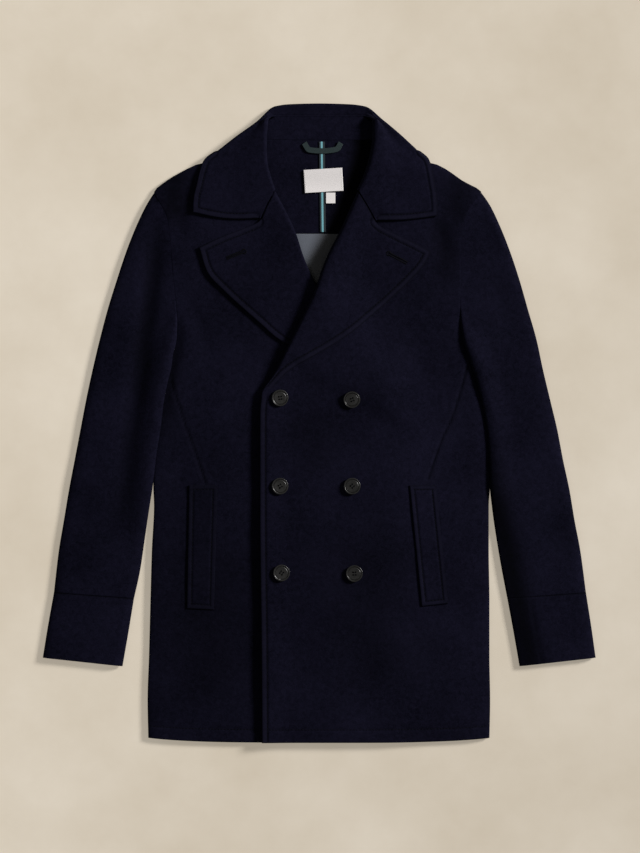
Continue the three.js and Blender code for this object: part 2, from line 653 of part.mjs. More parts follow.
function tapePlace(u, v) {
  const middle = CENTRE_TAPE.x + CENTRE_TAPE.lean * (0.5 - v);
  return { x: middle + (u - 0.5) * CENTRE_TAPE.width, y: lerp(CENTRE_TAPE.bottomY, CENTRE_TAPE.topY, v) };
}
const tapeTop = (x, y) => facingTop(x, y) + SEAM_GAP + TAPE_WALL;
layFlat("centre_tape", materials.tape, tapePlace, shares(2), shares(8), tapeTop, TAPE_WALL);

function labelPlace(label) {
  return (u, v) => {
    const across = (u - 0.5) * label.width;
    const up = (v - 0.5) * label.height;
    return {
      x: label.x + across * Math.cos(label.turn) - up * Math.sin(label.turn),
      y: label.y + across * Math.sin(label.turn) + up * Math.cos(label.turn),
    };
  };
}
const overTape = (x, y) => tapeTop(x, y) + SEAM_GAP + TAPE_WALL;
layFlat("neck_label", materials.label, labelPlace(NECK_LABEL), shares(4), shares(3), overTape, TAPE_WALL);
layFlat("size_label", materials.label, labelPlace(SIZE_LABEL), shares(2), shares(2), overTape, TAPE_WALL);

// The hanger loop: a tape that hangs in a shallow bow from the neck seam.
const loopRoute = flatCurve(LOOP.route);
function loopPlace(u, v) {
  const middle = loopRoute(v);
  const ahead = loopRoute(Math.min(1, v + 0.02)).sub(loopRoute(Math.max(0, v - 0.02))).normalize();
  return {
    x: middle.x - ahead.y * (u - 0.5) * LOOP.width,
    y: middle.y + ahead.x * (u - 0.5) * LOOP.width,
  };
}
layFlat("hanger_loop", materials.loop, loopPlace, shares(2), shares(12), overTape, TAPE_WALL);

// A sleeve or cuff as a flattened tube: each ring runs over the top and back along the underside.
function sleeveRing(side, row, inset) {
  const outerPoint = new THREE.Vector3(side === "left" ? row.oxL : row.oxR, row.oy, 0);
  const innerPoint = new THREE.Vector3(side === "left" ? row.ixL : row.ixR, row.iy, 0);
  const seamOut = side === "left" ? -0.5 : 0.5;
  const across = innerPoint.clone().sub(outerPoint);
  const width = across.length();
  const height = lerp(SLEEVE_HEIGHT, ARMHOLE_HEIGHT, row.hole);
  const turned = side === "right" ? ease(-row.oy, -TURNED_FROM_Y, -TURNED_BY_Y) : 0;
  const innerRound = lerp(SLEEVE_ROUND, TURNED_ROUND, turned);
  const half = height / 2 - inset;
  const spotAt = (share) => {
    const t = lerp(inset / width, 1 - inset / width, share);
    const spot = outerPoint.clone().addScaledVector(across, t);
    const onSeam = readRow(BODY_ROWS, side, spot.y) + seamOut - spot.x;
    if (row.hole > 0) spot.x += onSeam * row.hole * ease(t, -0.01, 0.01);
    const fromOuter = (t * width) - inset;
    const fromInner = (1 - t) * width - inset;
    const full = rounded(fromOuter, SLEEVE_ROUND - inset) * rounded(fromInner, innerRound - inset);
    const lift = row.lift * (1 - ease(fromInner, LIFT_FLAT, LIFT_REACH));
    const { place, width: spread, depth, fromY, toY } = SLEEVE_TROUGH;
    const trough = Math.exp(-(((t - place) / spread) ** 2));
    const inTrough = trough * ease(fromY - spot.y, 0, 60) * ease(spot.y - toY, 0, 80);
    return { spot, full, lift, dip: depth * inTrough };
  };
  const top = RING_STATIONS.map((share) => {
    const { spot, full, lift, dip } = spotAt(share);
    spot.z = height / 2 + half * full + lift * LIFT_ON_TOP - dip * full;
    return spot;
  });
  const bottom = RING_STATIONS.slice(1, -1).reverse().map((share) => {
    const { spot, full, lift } = spotAt(share);
    spot.z = height / 2 - half * full + lift;
    return spot;
  });
  return [...top, ...bottom];
}

function addTube(name, side, rows) {
  const outer = rows.map((row) => sleeveRing(side, row, 0));
  const inner = rows.map((row) => sleeveRing(side, row, SLEEVE_WALL));
  return addPiece(name, wallGeometry(outer, inner, true), materials.wool);
}

for (const side of ["left", "right"]) {
  addTube(`sleeve_${side}`, side, SLEEVE_ROWS);
  addTube(`cuff_${side}`, side, CUFF_ROWS);
}

// A welt lies on its front, made from the front's points moved up.
function addWelt(name, corners, frontTop) {
  const place = (u, v) => ({
    x: lerp(lerp(corners[3].x, corners[2].x, u), lerp(corners[0].x, corners[1].x, u), v),
    y: lerp(lerp(corners[3].y, corners[2].y, u), lerp(corners[0].y, corners[1].y, u), v),
  });
  const top = (x, y) => frontTop(x, y) + SEAM_GAP + WELT_WALL;
  return layFlat(name, materials.wool, place, shares(3), shares(10), top, WELT_WALL);
}
addWelt("welt_left", WELT_LEFT, leftFrontTop);
addWelt("welt_right", WELT_RIGHT, rightFrontTop);

// Closed geometry to a solid for a boolean, and back.
function toSolid(geometry) {
  const bare = geometry.clone();
  bare.deleteAttribute("normal");
  bare.deleteAttribute("uv");
  const merged = mergeVertices(bare);
  return new wasm.Manifold(new wasm.Mesh({
    numProp: 3,
    vertProperties: merged.attributes.position.array,
    triVerts: new Uint32Array(merged.index.array),
  }));
}

function toGeometry(solid) {
  const mesh = solid.getMesh();
  const geometry = new THREE.BufferGeometry();
  geometry.setAttribute("position", new THREE.BufferAttribute(mesh.vertProperties, 3));
  geometry.setIndex(new THREE.BufferAttribute(mesh.triVerts, 1));
  return geometry;
}

// A four-hole button: flat back, raised rim, dished middle.
function buttonGeometry() {
  const { radius, height, rim, edge, dish, holeRadius, holeSpacing, holeSides, sides } = BUTTON;
  const profile = [
    [0, 0],
    [radius - edge, 0],
    [radius, edge],
    [radius, height - edge],
    [radius - edge, height],
    [radius - rim, height],
    [radius - 2 * rim, height - dish],
    [0, height - dish],
  ].map(([x, y]) => new THREE.Vector2(x, y));
  let solid = toSolid(new THREE.LatheGeometry(profile, sides).rotateX(Math.PI / 2));
  for (let hole = 0; hole < 4; hole++) {
    const angle = Math.PI / 4 + (hole * Math.PI) / 2;
    const drill = new THREE.CylinderGeometry(holeRadius, holeRadius, height * 3, holeSides);
    drill.rotateX(Math.PI / 2);
    drill.translate(holeSpacing * Math.cos(angle), holeSpacing * Math.sin(angle), 0);
    solid = solid.subtract(toSolid(drill));
  }
  return toGeometry(solid);
}

// Each button lies on the right front, turned to its slope.
function addButton(button) {
  const step = BUTTON.radius;
  const riseX = rightFrontTop(button.x + step, button.y) - rightFrontTop(button.x - step, button.y);
  const riseY = rightFrontTop(button.x, button.y + step) - rightFrontTop(button.x, button.y - step);
  const [slopeX, slopeY] = [riseX / (2 * step), riseY / (2 * step)];
  const normal = new THREE.Vector3(-slopeX, -slopeY, 1).normalize();
  const seat = rightFrontTop(button.x, button.y);
  const rises = shares(12).map((share) => {
    const [dx, dy] = [step * Math.cos(2 * Math.PI * share), step * Math.sin(2 * Math.PI * share)];
    return rightFrontTop(button.x + dx, button.y + dy) - (seat + slopeX * dx + slopeY * dy);
  });
  const mesh = addPiece(button.name, buttonGeometry(), materials.horn);
  mesh.quaternion.setFromUnitVectors(new THREE.Vector3(0, 0, 1), normal);
  mesh.position.set(button.x, button.y, seat).addScaledVector(normal, BUTTON.clearance + Math.max(0, ...rises));
  return mesh;
}
BUTTONS.forEach(addButton);

export default group;
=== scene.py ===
"""A double-breasted wool pea coat, laid flat and buttoned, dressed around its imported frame.

Metres throughout: +X to the right as seen from above, +Y towards the collar, +Z up. "Left" and
"right" are the viewer's, and the right front laps over the left one.
"""

import logging
import math
from dataclasses import dataclass, field
from enum import Enum
from typing import Callable, Sequence

import bpy
import numpy as np
from mathutils import Matrix, Vector
from mathutils.bvhtree import BVHTree


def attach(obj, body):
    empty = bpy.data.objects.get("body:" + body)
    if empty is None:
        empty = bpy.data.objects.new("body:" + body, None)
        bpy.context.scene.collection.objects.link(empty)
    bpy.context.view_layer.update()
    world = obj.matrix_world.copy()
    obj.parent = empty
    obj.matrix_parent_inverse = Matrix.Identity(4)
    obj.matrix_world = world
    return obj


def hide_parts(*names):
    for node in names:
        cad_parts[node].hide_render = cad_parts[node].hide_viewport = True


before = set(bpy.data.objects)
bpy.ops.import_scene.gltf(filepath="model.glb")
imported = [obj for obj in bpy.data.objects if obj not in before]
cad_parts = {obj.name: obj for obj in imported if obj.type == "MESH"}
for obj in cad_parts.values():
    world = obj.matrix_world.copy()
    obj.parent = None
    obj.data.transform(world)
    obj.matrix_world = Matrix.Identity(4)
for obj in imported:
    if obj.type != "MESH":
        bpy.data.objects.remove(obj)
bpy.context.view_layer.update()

Array = np.ndarray
Grid = np.ndarray
Pair = tuple[Array, Array]
Height = Callable[[Array, Array], Array]
Place = Callable[[Array, Array], Pair]
Route = Sequence[Sequence[float]]
Colour = tuple[float, float, float, float]
Finder = Callable[[float, float], tuple[Vector, Vector]]
Piece = bpy.types.Object
Material = bpy.types.Material
Tree = bpy.types.NodeTree
Node = bpy.types.Node
Socket = bpy.types.NodeSocket
log = logging.getLogger("pea_coat")


class Side(Enum):
    """The viewer's side of the coat, with the sign of X there."""

    LEFT = -1
    RIGHT = 1

    @property
    def word(self) -> str:
        """The side's name as the nodes spell it."""
        return self.name.lower()


class Slot(Enum):
    """The record's material slots."""

    WOOL = "wool_melton"
    SATIN = "satin_lining"
    TAPE = "binding_tape"
    LOOP = "loop_tape"
    LABEL = "blank_label"
    HORN = "horn_button"


# Cloth thicknesses.
SEAM_GAP = 0.0003
LAYER_GAP = 0.001
BACK_WALL = 0.0024
FRONT_WALL = 0.003
LAP_WALL = 0.0032
LAPEL_WALL = 0.003
COLLAR_WALL = 0.0032
SLEEVE_WALL = 0.0028
LINING_WALL = 0.001
FACING_WALL = 0.0012
WELT_WALL = 0.002
TAPE_WALL = 0.001

# Small sizes of the cloth's finish that several pieces share.
CREVICE = 0.0012
# How dark the painted shade in the crevice along an edge is.
CREVICE_SHADE = 0.75
GROOVE_LINE = 0.0011
SEAM_LINE = 0.0013
UNDER_RIM = 0.0010
HEM_STITCH = 0.017
CUFF_STITCH = 0.0085
STAND_TOP = 0.0076
NAPE_Y = 0.395

# Outline of the body from the hem up: side seam, armhole, then shoulder seam to the neck. A row holds
# y, then x on the left and on the right.
BODY_ROWS = (
    (-0.440, -0.239, 0.238),
    (-0.388, -0.240, 0.239),
    (-0.325, -0.238, 0.238),
    (-0.248, -0.236, 0.238),
    (-0.178, -0.234, 0.237),
    (-0.115, -0.231, 0.237),
    (-0.087, -0.232, 0.239),
    (-0.032, -0.230, 0.240),
    (0.010, -0.225, 0.235),
    (0.043, -0.220, 0.228),
    (0.087, -0.211, 0.216),
    (0.104, -0.203, 0.207),
    (0.118, -0.200, 0.202),
    (0.137, -0.199, 0.199),
    (0.167, -0.201, 0.198),
    (0.207, -0.205, 0.198),
    (0.246, -0.208, 0.199),
    (0.287, -0.213, 0.205),
    (0.309, -0.224, 0.217),
    (0.322, -0.231, 0.227),
    (0.339, -0.213, 0.200),
    (0.353, -0.189, 0.180),
    (0.361, -0.172, 0.165),
    (0.366, -0.150, 0.144),
    (0.384, -0.121, 0.116),
    (0.407, -0.086, 0.086),
)
HEM_Y = -0.440
HEM_DROP = 0.0066
UNDERARM_Y = 0.137
SHOULDER_TIP_Y = 0.322
NECK_POINT_Y = 0.407

# Fold of each lapel and, below the break, the edge of each front, in the same columns.
OPENING_ROWS = (
    (-0.440, 0.082, -0.080),
    (-0.304, 0.082, -0.081),
    (-0.126, 0.082, -0.083),
    (0.010, 0.082, -0.083),
    (0.041, 0.081, -0.080),
    (0.071, 0.064, -0.062),
    (0.102, 0.046, -0.046),
    (0.144, 0.023, -0.025),
    (0.183, 0.002, -0.007),
    (0.211, -0.013, 0.002),
    (0.235, -0.023, 0.012),
    (0.266, -0.033, 0.028),
    (0.297, -0.047, 0.042),
    (0.323, -0.061, 0.053),
    (0.344, -0.067, 0.061),
    (0.365, -0.072, 0.068),
    (0.389, -0.073, 0.073),
    (0.414, -0.072, 0.074),
    (0.428, -0.071, 0.073),
)
BREAK_Y = 0.041
GORGE_Y = 0.323

# The collar's sections: neck point, outer point, whether the neck edge folds, share of half a turn
# that the outer line wraps, run after it, and bow of the section.
COLLAR_COLUMNS = ("ix", "iy", "ox", "oy", "fold", "turn", "under", "bow")
COLLAR_ROWS = (
    (-0.082, 0.2855, -0.1765, 0.2935, 0, 0, 0.004, 0.0045),
    (-0.073, 0.305, -0.1765, 0.3025, 0, 0, 0.004, 0.001),
    (-0.0635, 0.323, -0.1755, 0.316, 0, 0, 0.004, 0),
    (-0.061, 0.3255, -0.175, 0.319, 1, 0, 0.004, 0),
    (-0.067, 0.344, -0.171, 0.335, 1, 0, 0.004, 0),
    (-0.072, 0.365, -0.167, 0.352, 1, 0, 0.004, 0),
    (-0.073, 0.382, -0.1605, 0.369, 1, 0.1, 0.004, 0),
    (-0.073, 0.398, -0.1415, 0.381, 1, 0.8, 0.0012, 0),
    (-0.072, 0.412, -0.1165, 0.400, 1, 1, 0.022, 0),
    (-0.071, 0.423, -0.0885, 0.4205, 1, 1, 0.042, 0),
    (-0.062, 0.428, -0.062, 0.443, 0, 1, 0.060, 0),
    (-0.040, 0.428, -0.040, 0.446, 0, 1, 0.066, 0),
    (0.000, 0.428, 0.000, 0.447, 0, 1, 0.068, 0),
    (0.040, 0.428, 0.040, 0.446, 0, 1, 0.066, 0),
    (0.060, 0.428, 0.064, 0.443, 0, 1, 0.060, 0),
    (0.073, 0.423, 0.0895, 0.4235, 1, 1, 0.043, 0),
    (0.074, 0.412, 0.1155, 0.4015, 1, 1, 0.022, 0),
    (0.074, 0.398, 0.1365, 0.382, 1, 0.8, 0.0012, 0),
    (0.072, 0.382, 0.1535, 0.369, 1, 0.1, 0.004, 0),
    (0.068, 0.365, 0.158, 0.353, 1, 0, 0.004, 0),
    (0.061, 0.344, 0.161, 0.336, 1, 0, 0.004, 0),
    (0.053, 0.3255, 0.164, 0.319, 1, 0, 0.004, 0),
    (0.056, 0.323, 0.164, 0.316, 0, 0, 0.004, 0),
    (0.0695, 0.3005, 0.165, 0.304, 0, 0, 0.004, 0),
    (0.0795, 0.2825, 0.1645, 0.2885, 0, 0, 0.004, -0.002),
)

# Sleeve and cuff sections: outer and inner folds on each side, how far the inner fold rides up over
# the body, and how much of the armhole's curve the section follows.
SLEEVE_COLUMNS = ("ox_left", "ox_right", "oy", "ix_left", "ix_right", "iy", "lift", "hole")
SLEEVE_ROWS = (
    (-0.231, 0.227, 0.322, -0.200, 0.200, 0.137, 0, 1),
    (-0.242, 0.239, 0.304, -0.199, 0.199, 0.131, 0.002, 0.75),
    (-0.255, 0.252, 0.277, -0.1985, 0.199, 0.123, 0.004, 0.5),
    (-0.269, 0.266, 0.242, -0.1995, 0.2005, 0.112, 0.0065, 0.3),
    (-0.283, 0.280, 0.200, -0.203, 0.206, 0.098, 0.0085, 0.12),
    (-0.296, 0.292, 0.158, -0.206, 0.213, 0.078, 0.0085, 0),
    (-0.307, 0.304, 0.116, -0.212, 0.221, 0.053, 0.0085, 0),
    (-0.317, 0.313, 0.074, -0.217, 0.228, 0.026, 0.008, 0),
    (-0.326, 0.323, 0.032, -0.221, 0.234, -0.007, 0.0075, 0),
    (-0.334, 0.333, -0.010, -0.227, 0.237, -0.045, 0.0075, 0),
    (-0.342, 0.341, -0.052, -0.232, 0.238, -0.085, 0.007, 0),
    (-0.350, 0.350, -0.094, -0.238, 0.242, -0.123, 0.003, 0),
    (-0.357, 0.357, -0.136, -0.244, 0.248, -0.163, 0, 0),
    (-0.364, 0.365, -0.178, -0.250, 0.255, -0.204, 0, 0),
    (-0.371, 0.373, -0.2376, -0.259, 0.263, -0.2455, 0, 0),
)
CUFF_ROWS = (
    (-0.371, 0.373, -0.2374, -0.259, 0.263, -0.2453, 0, 0),
    (-0.379, 0.380, -0.282, -0.267, 0.272, -0.294, 0, 0),
    (-0.3865, 0.3865, -0.328, -0.275, 0.280, -0.340, 0, 0),
)


def ease(value: Array, low: float, high: float) -> Array:
    """Smooth step.

    Args:
        value: Where to read it.
        low: Where it leaves 0.
        high: Where it reaches 1.

    Returns:
        From 0 to 1.
    """
    share = np.clip((np.asarray(value, float) - low) / (high - low), 0, 1)
    return share * share * (3 - 2 * share)


def rounded(distance: Array, reach: float) -> Array:
    """Quarter-round rise.

    Args:
        distance: Distance from the edge.
        reach: Distance over which it rises.

    Returns:
        From 0 to 1.
    """
    share = np.clip(np.asarray(distance, float) / reach, 0, 1)
    return np.sqrt(1 - (1 - share) ** 2)


def lerp(start: Array, end: Array, share: Array) -> Array:
    """Straight blend from start to end."""
    return start + (end - start) * share


def bell(distance: Array, width: float) -> Array:
    """1 on a line, fading to nothing at about twice the width beside it."""
    return np.exp(-((distance / width) ** 2))


@dataclass
class Rail:
    """Values that run smoothly through the rows of a table, with no overshoot.

    Args:
        at: Where each row stands.
        value: One value or one row of values for each.
    """

    at: Array
    value: Array

    def __post_init__(self) -> None:
        """Sorts the rows and works out the slope at each."""
        at, value = np.asarray(self.at, float), np.asarray(self.value, float)
        order = np.argsort(at, kind="stable")
        self.at, self.value = at[order], value[order]
        flat = self.value.reshape(len(self.at), -1)
        step = np.diff(self.at)[:, None]
        rise = np.diff(flat, axis=0) / step
        slope = np.zeros_like(flat)
        slope[0], slope[-1] = rise[0], rise[-1]
        before, after = rise[:-1], rise[1:]
        same_way = before * after > 0
        weight_before = 2 * step[1:] + step[:-1]
        weight_after = step[1:] + 2 * step[:-1]
        safe_before = np.where(same_way, before, 1)
        safe_after = np.where(same_way, after, 1)
        mean = (weight_before + weight_after) / (weight_before / safe_before + weight_after / safe_after)
        slope[1:-1] = np.where(same_way, mean, 0)
        self.flat, self.slope = flat, slope

    def __call__(self, where: Array) -> Array:
        """Reads the rail.

        Args:
            where: One place or an array of places.

        Returns:
            The values there, with the table's columns last.
        """
        where = np.asarray(where, float)
        spots = np.clip(where.ravel(), self.at[0], self.at[-1])
        index = np.clip(np.searchsorted(self.at, spots, side="right") - 1, 0, len(self.at) - 2)
        step = (self.at[index + 1] - self.at[index])[:, None]
        t = (spots - self.at[index])[:, None] / step
        low, high = self.flat[index], self.flat[index + 1]
        found = (
            low * (1 + 2 * t) * (1 - t) ** 2
            + high * t * t * (3 - 2 * t)
            + step * self.slope[index] * t * (1 - t) ** 2
            + step * self.slope[index + 1] * t * t * (t - 1)
        )
        return found.reshape(where.shape + self.value.shape[1:])


@dataclass
class Line:
    """A smooth flat line through points, read by its share of the length.

    Args:
        points: The points that it passes, as x and y.
    """

    points: Route

    def __post_init__(self) -> None:
        """Measures the line."""
        points = np.array(self.points, float)
        chord = np.concatenate([[0], np.cumsum(np.linalg.norm(np.diff(points, axis=0), axis=1))])
        fine = np.linspace(0, chord[-1], 800)
        self.fine = Rail(chord, points)(fine)
        steps = np.linalg.norm(np.diff(self.fine, axis=0), axis=1)
        self.run = np.concatenate([[0], np.cumsum(steps)])
        self.length = float(self.run[-1])

    def __call__(self, share: Array) -> Array:
        """Points of the line."""
        where = np.asarray(share, float) * self.length
        return np.stack([np.interp(where, self.run, self.fine[:, axis]) for axis in (0, 1)], axis=-1)

    def moved_in(self, distance: float, turn: int, trim: float = 0.0, pitch: float = 0.002) -> "Line":
        """A line beside this one.

        Args:
            distance: How far beside it.
            turn: 1 for the left of its direction, -1 for the right.
            trim: Length left out at each end.
            pitch: Spacing of its points.

        Returns:
            The new line.
        """
        count = max(8, int(self.length / pitch))
        share = np.linspace(trim / self.length, 1 - trim / self.length, count)
        ahead = self(np.minimum(share + 0.004, 1)) - self(np.maximum(share - 0.004, 0))
        ahead /= np.linalg.norm(ahead, axis=1)[:, None]
        side = np.stack([-ahead[:, 1], ahead[:, 0]], axis=1) * turn
        return Line(self(share) + side * distance)


def distance_to(x: Array, y: Array, line: Array) -> Array:
    """Flat distance from each point to a line of straight pieces.

    Args:
        x: X of the points.
        y: Y of the points.
        line: The line's corners.

    Returns:
        The distances, in the shape of x.
    """
    spots = np.stack([np.ravel(x), np.ravel(y)], axis=1)
    nearest = np.full(len(spots), np.inf)
    for start, end in zip(line[:-1], line[1:]):
        way = end - start
        share = np.clip(((spots - start) @ way) / max(float(way @ way), 1e-12), 0, 1)
        gap = np.linalg.norm(spots - start - share[:, None] * way, axis=1)
        nearest = np.minimum(nearest, gap)
    return nearest.reshape(np.shape(x))


def thinned(points: Array, pitch: float) -> Array:
    """The points of a line that stand at least a pitch apart.

    Args:
        points: Points of the line.
        pitch: Least distance.

    Returns:
        The points that are kept.
    """
    kept = [points[0]]
    for spot in points[1:]:
        if np.linalg.norm(spot - kept[-1]) >= pitch:
            kept.append(spot)
    return np.array(kept)


def rails(rows: Route) -> dict:
    """The left and right rails of a table with the columns y, left and right."""
    table = np.array(rows)
    return {name: Rail(table[:, 0], table[:, column]) for name, column in (("left", 1), ("right", 2))}


BODY_RAIL = rails(BODY_ROWS)
OPENING_RAIL = rails(OPENING_ROWS)


@dataclass(frozen=True)
class Lay:
    """Heights of the coat's layers over the surface that it lies on."""

    front_air: float = 0.0033
    collar_lift: float = 0.0035
    air_lost_under_collar: float = 0.0015
    left_front_lift: float = 0.0039
    left_lapel_lift: float = 0.0044
    edge_loft: float = 0.0045
    edge_loft_reach: float = 0.046
    side_round: float = 0.026
    shoulder_round: float = 0.022

    def shoulder_y(self, x: Array) -> Array:
        """Y of the shoulder seam at each distance from the middle.

        Args:
            x: Distance to the right.

        Returns:
            y of the seam.
        """
        reach = np.abs(x)
        heights, *reaches = np.abs([row for row in BODY_ROWS if row[0] >= SHOULDER_TIP_Y][::-1]).T
        found = []
        for seam in reaches:
            inside = NECK_POINT_Y + (seam[0] - reach) / 2
            found.append(np.where(reach < seam[0], inside, np.interp(reach, seam, heights)))
        return np.where(x < 0, *found)

    def collar_cover(self, x: Array, y: Array) -> Array:
        """1 where the body lies on the fall of the collar, 0 where it lies on the floor."""
        return ease(y, 0.328, 0.364) * (1 - ease(np.abs(x), 0.150, 0.200))

    def back_top(self, x: Array, y: Array) -> Array:
        """Top of the back."""
        return BACK_WALL + self.collar_lift * self.collar_cover(x, y)

    def fullness(self, x: Array, y: Array) -> Array:
        """0 at the side and shoulder seams and 1 inside them and along the armhole.

        Args:
            x: Distance to the right.
            y: Distance up the photo.

        Returns:
            The share.
        """
        from_side = np.minimum(x - BODY_RAIL["left"](y), BODY_RAIL["right"](y) - x)
        side = lerp(rounded(from_side, self.side_round), 1, ease(y, UNDERARM_Y - 0.012, UNDERARM_Y + 0.030))
        from_shoulder = (self.shoulder_y(x) - y) * 0.85
        return side * rounded(from_shoulder, self.shoulder_round)

    def front_under(self, x: Array, y: Array) -> Array:
        """Underside of the left front."""
        air = self.front_air - self.air_lost_under_collar * self.collar_cover(x, y)
        return self.back_top(x, y) + SEAM_GAP + air * self.fullness(x, y)

    def left_top(self, x: Array, y: Array) -> Array:
        """Top of the left front."""
        return self.front_under(x, y) + FRONT_WALL

    def right_under(self, x: Array, y: Array) -> Array:
        """Underside of the right front, which rides over the left front and its lapel's hidden end.

        Args:
            x: Distance to the right.
            y: Distance up the photo.

        Returns:
            The height.
        """
        past_left = x - OPENING_RAIL["left"](y)
        on_left = 1 - ease(past_left, 0.002, 0.085)
        below_lapel = (x + 0.059) * -0.477 + (y - 0.118) * -0.881
        on_lapel = (1 - ease(below_lapel, 0.004, 0.036)) * on_left
        from_edge = x - OPENING_RAIL["right"](y)
        loft = self.edge_loft * (1 - ease(from_edge, 0, self.edge_loft_reach))
        loft = loft * on_left * (1 - ease(y, 0.120, 0.200))
        extra = np.maximum(self.left_lapel_lift * on_lapel, loft)
        return self.front_under(x, y) + self.left_front_lift * on_left + extra

    def right_top(self, x: Array, y: Array) -> Array:
        """Top of the right front."""
        return self.right_under(x, y) + LAP_WALL

    def facing_top(self, x: Array, y: Array) -> Array:
        """Top of the back neck facing."""
        return self.back_top(x, y) + 0.0005 + FACING_WALL

    def tape_top(self, x: Array, y: Array) -> Array:
        """Top of the centre tape."""
        return self.facing_top(x, y) + SEAM_GAP + TAPE_WALL

    def label_top(self, x: Array, y: Array) -> Array:
        """Top of what lies on the tape."""
        return self.tape_top(x, y) + SEAM_GAP + TAPE_WALL


LAY = Lay()


@dataclass(frozen=True)
class EdgeForm:
    """Section of a finished edge: rounded rim, padded border and the groove of its stitching.

    Args:
        rim: Radius of the rounded rim.
        border: Distance of the stitching from the edge.
        pad: Rise of the border's middle.
        groove: Depth of the groove.
        groove_width: Half-width of the groove.
        brushed: How brushed the border's crest is.
        crest: Distance of that crest from the edge.
        crest_width: Half-width of the crest.
    """

    rim: float = 0.0013
    border: float = 0.0080
    pad: float = 0.00015
    groove: float = 0.0007
    groove_width: float = 0.0014
    brushed: float = 0.55
    crest: float = 0.0035
    crest_width: float = 0.0024

    def rim_drop(self, distance: Array) -> Array:
        """How far the rim has dropped at each distance from the edge."""
        return self.rim * (1 - rounded(distance, self.rim))

    def rise(self, distance: Array) -> Array:
        """Rise of the padded border less the groove.

        Args:
            distance: Distance from the edge.

        Returns:
            The rise.
        """
        share = np.clip(distance / self.border, 0, 1)
        pad = self.pad * np.sin(np.pi * share) ** 0.7
        beyond = self.pad * 0.5 * bell(distance - self.border - 0.003, 0.0025)
        groove = self.groove * bell(distance - self.border, self.groove_width)
        return pad + beyond - groove

    def painted_shade(self, distance: Array) -> Array:
        """Painted shade of the crevice at the edge and of the sewn groove."""
        groove = 0.6 * bell(distance - self.border, GROOVE_LINE)
        return np.maximum(CREVICE_SHADE * bell(distance, CREVICE), groove)

    def ridge(self, distance: Array) -> Array:
        """How brushed the nap is along the border."""
        return self.brushed * bell(distance - self.crest, self.crest_width)

    def crevices(self, from_free: Array, from_any: Array) -> Array:
        """Painted shade of a turned leaf along its stitched edges and along its seam."""
        return np.maximum(self.painted_shade(from_free), CREVICE_SHADE * bell(from_any, CREVICE))


TOPSTITCHED = EdgeForm()
WELT_EDGE = EdgeForm(
    rim=0.0009, border=0.0062, pad=0.0002, groove=0.0007, groove_width=0.0013,
    brushed=0.35, crest=0.003, crest_width=0.0022,
)


@dataclass(frozen=True)
class Fold:
    """A soft trough or ridge pressed into the cloth.

    Args:
        start: Where it starts.
        end: Where it ends.
        width: Half-width.
        rise: Height, negative for a trough.
        bow: Sideways bow of its middle.
    """

    start: tuple[float, float]
    end: tuple[float, float]
    width: float
    rise: float
    bow: float = 0.0

    def height(self, x: Array, y: Array) -> Array:
        """Height that it adds at each point.

        Args:
            x: Distance to the right.
            y: Distance up the photo.

        Returns:
            The height.
        """
        start, end = np.array(self.start), np.array(self.end)
        way = end - start
        length = float(np.linalg.norm(way))
        ahead = way / length
        along = ((x - start[0]) * ahead[0] + (y - start[1]) * ahead[1]) / length
        across = -(x - start[0]) * ahead[1] + (y - start[1]) * ahead[0]
        middle = self.bow * np.sin(np.pi * np.clip(along, 0, 1))
        ends = ease(along, -0.12, 0.30) * (1 - ease(along, 0.70, 1.12))
        return self.rise * ends * bell(across - middle, self.width)


def unevenness(x: Array, y: Array, rise: float, seed: int) -> Array:
    """Slight hand-laid waviness of the cloth.

    Args:
        x: X of the points.
        y: Y of the points.
        rise: Typical height.
        seed: Picks the waves.

    Returns:
        Heights.
    """
    draw = np.random.default_rng(seed)
    total = np.zeros_like(np.asarray(x, float))
    for _ in range(9):
        turn = draw.uniform(0, np.pi)
        wave = draw.uniform(0.045, 0.16)
        phase = draw.uniform(0, 2 * np.pi)
        total += np.sin(2 * np.pi * (x * np.cos(turn) + y * np.sin(turn)) / wave + phase) * wave
    return rise * total / 0.3


# Distances from an edge at which a panel has lines of its mesh.
EDGE_LINES = np.array([
    0, 0.0002, 0.0006, 0.0012, 0.0022, 0.0038, 0.0054, 0.0066, 0.0073, 0.008, 0.0087, 0.0094, 0.0108,
    0.0125, 0.015,
])
RIM_LINES = np.array([0, 0.0002, 0.0006, 0.0013, 0.0028])
WELT_LINES = np.array(
    [0, 0.0003, 0.0008, 0.0016, 0.0028, 0.0042, 0.005, 0.0056, 0.0062, 0.0068, 0.0076, 0.009]
)
CUFF_SEAM_LINES = np.array([0, 0.0005, 0.0012, 0.0024, 0.004, 0.006, 0.0072, 0.0085, 0.0098, 0.012])


def stations(length: float, count: int, start: Array, end: Array) -> Array:
    """Distances across a panel, close together at its edges.

    Args:
        length: The panel's width there.
        count: Lines between the two edges' own.
        start: Distances of the lines from the first edge.
        end: Distances of the lines from the last edge.

    Returns:
        Shares of the width, from 0 to 1.
    """
    squeeze = min(1.0, 0.8 * length / (start[-1] + end[-1]))
    first, last = start * squeeze, length - end[::-1] * squeeze
    middle = np.linspace(first[-1], last[0], count + 2)[1:-1]
    return np.concatenate([first, middle, last]) / length


def outward(grid: Grid) -> Grid:
    """Unit normals of a grid of points, by its rows and columns.

    Args:
        grid: Points of the surface.

    Returns:
        The normals.
    """
    down = np.gradient(grid, axis=0)
    along = np.gradient(grid, axis=1)
    normal = np.cross(down, along)
    return normal / np.maximum(np.linalg.norm(normal, axis=2, keepdims=True), 1e-12)


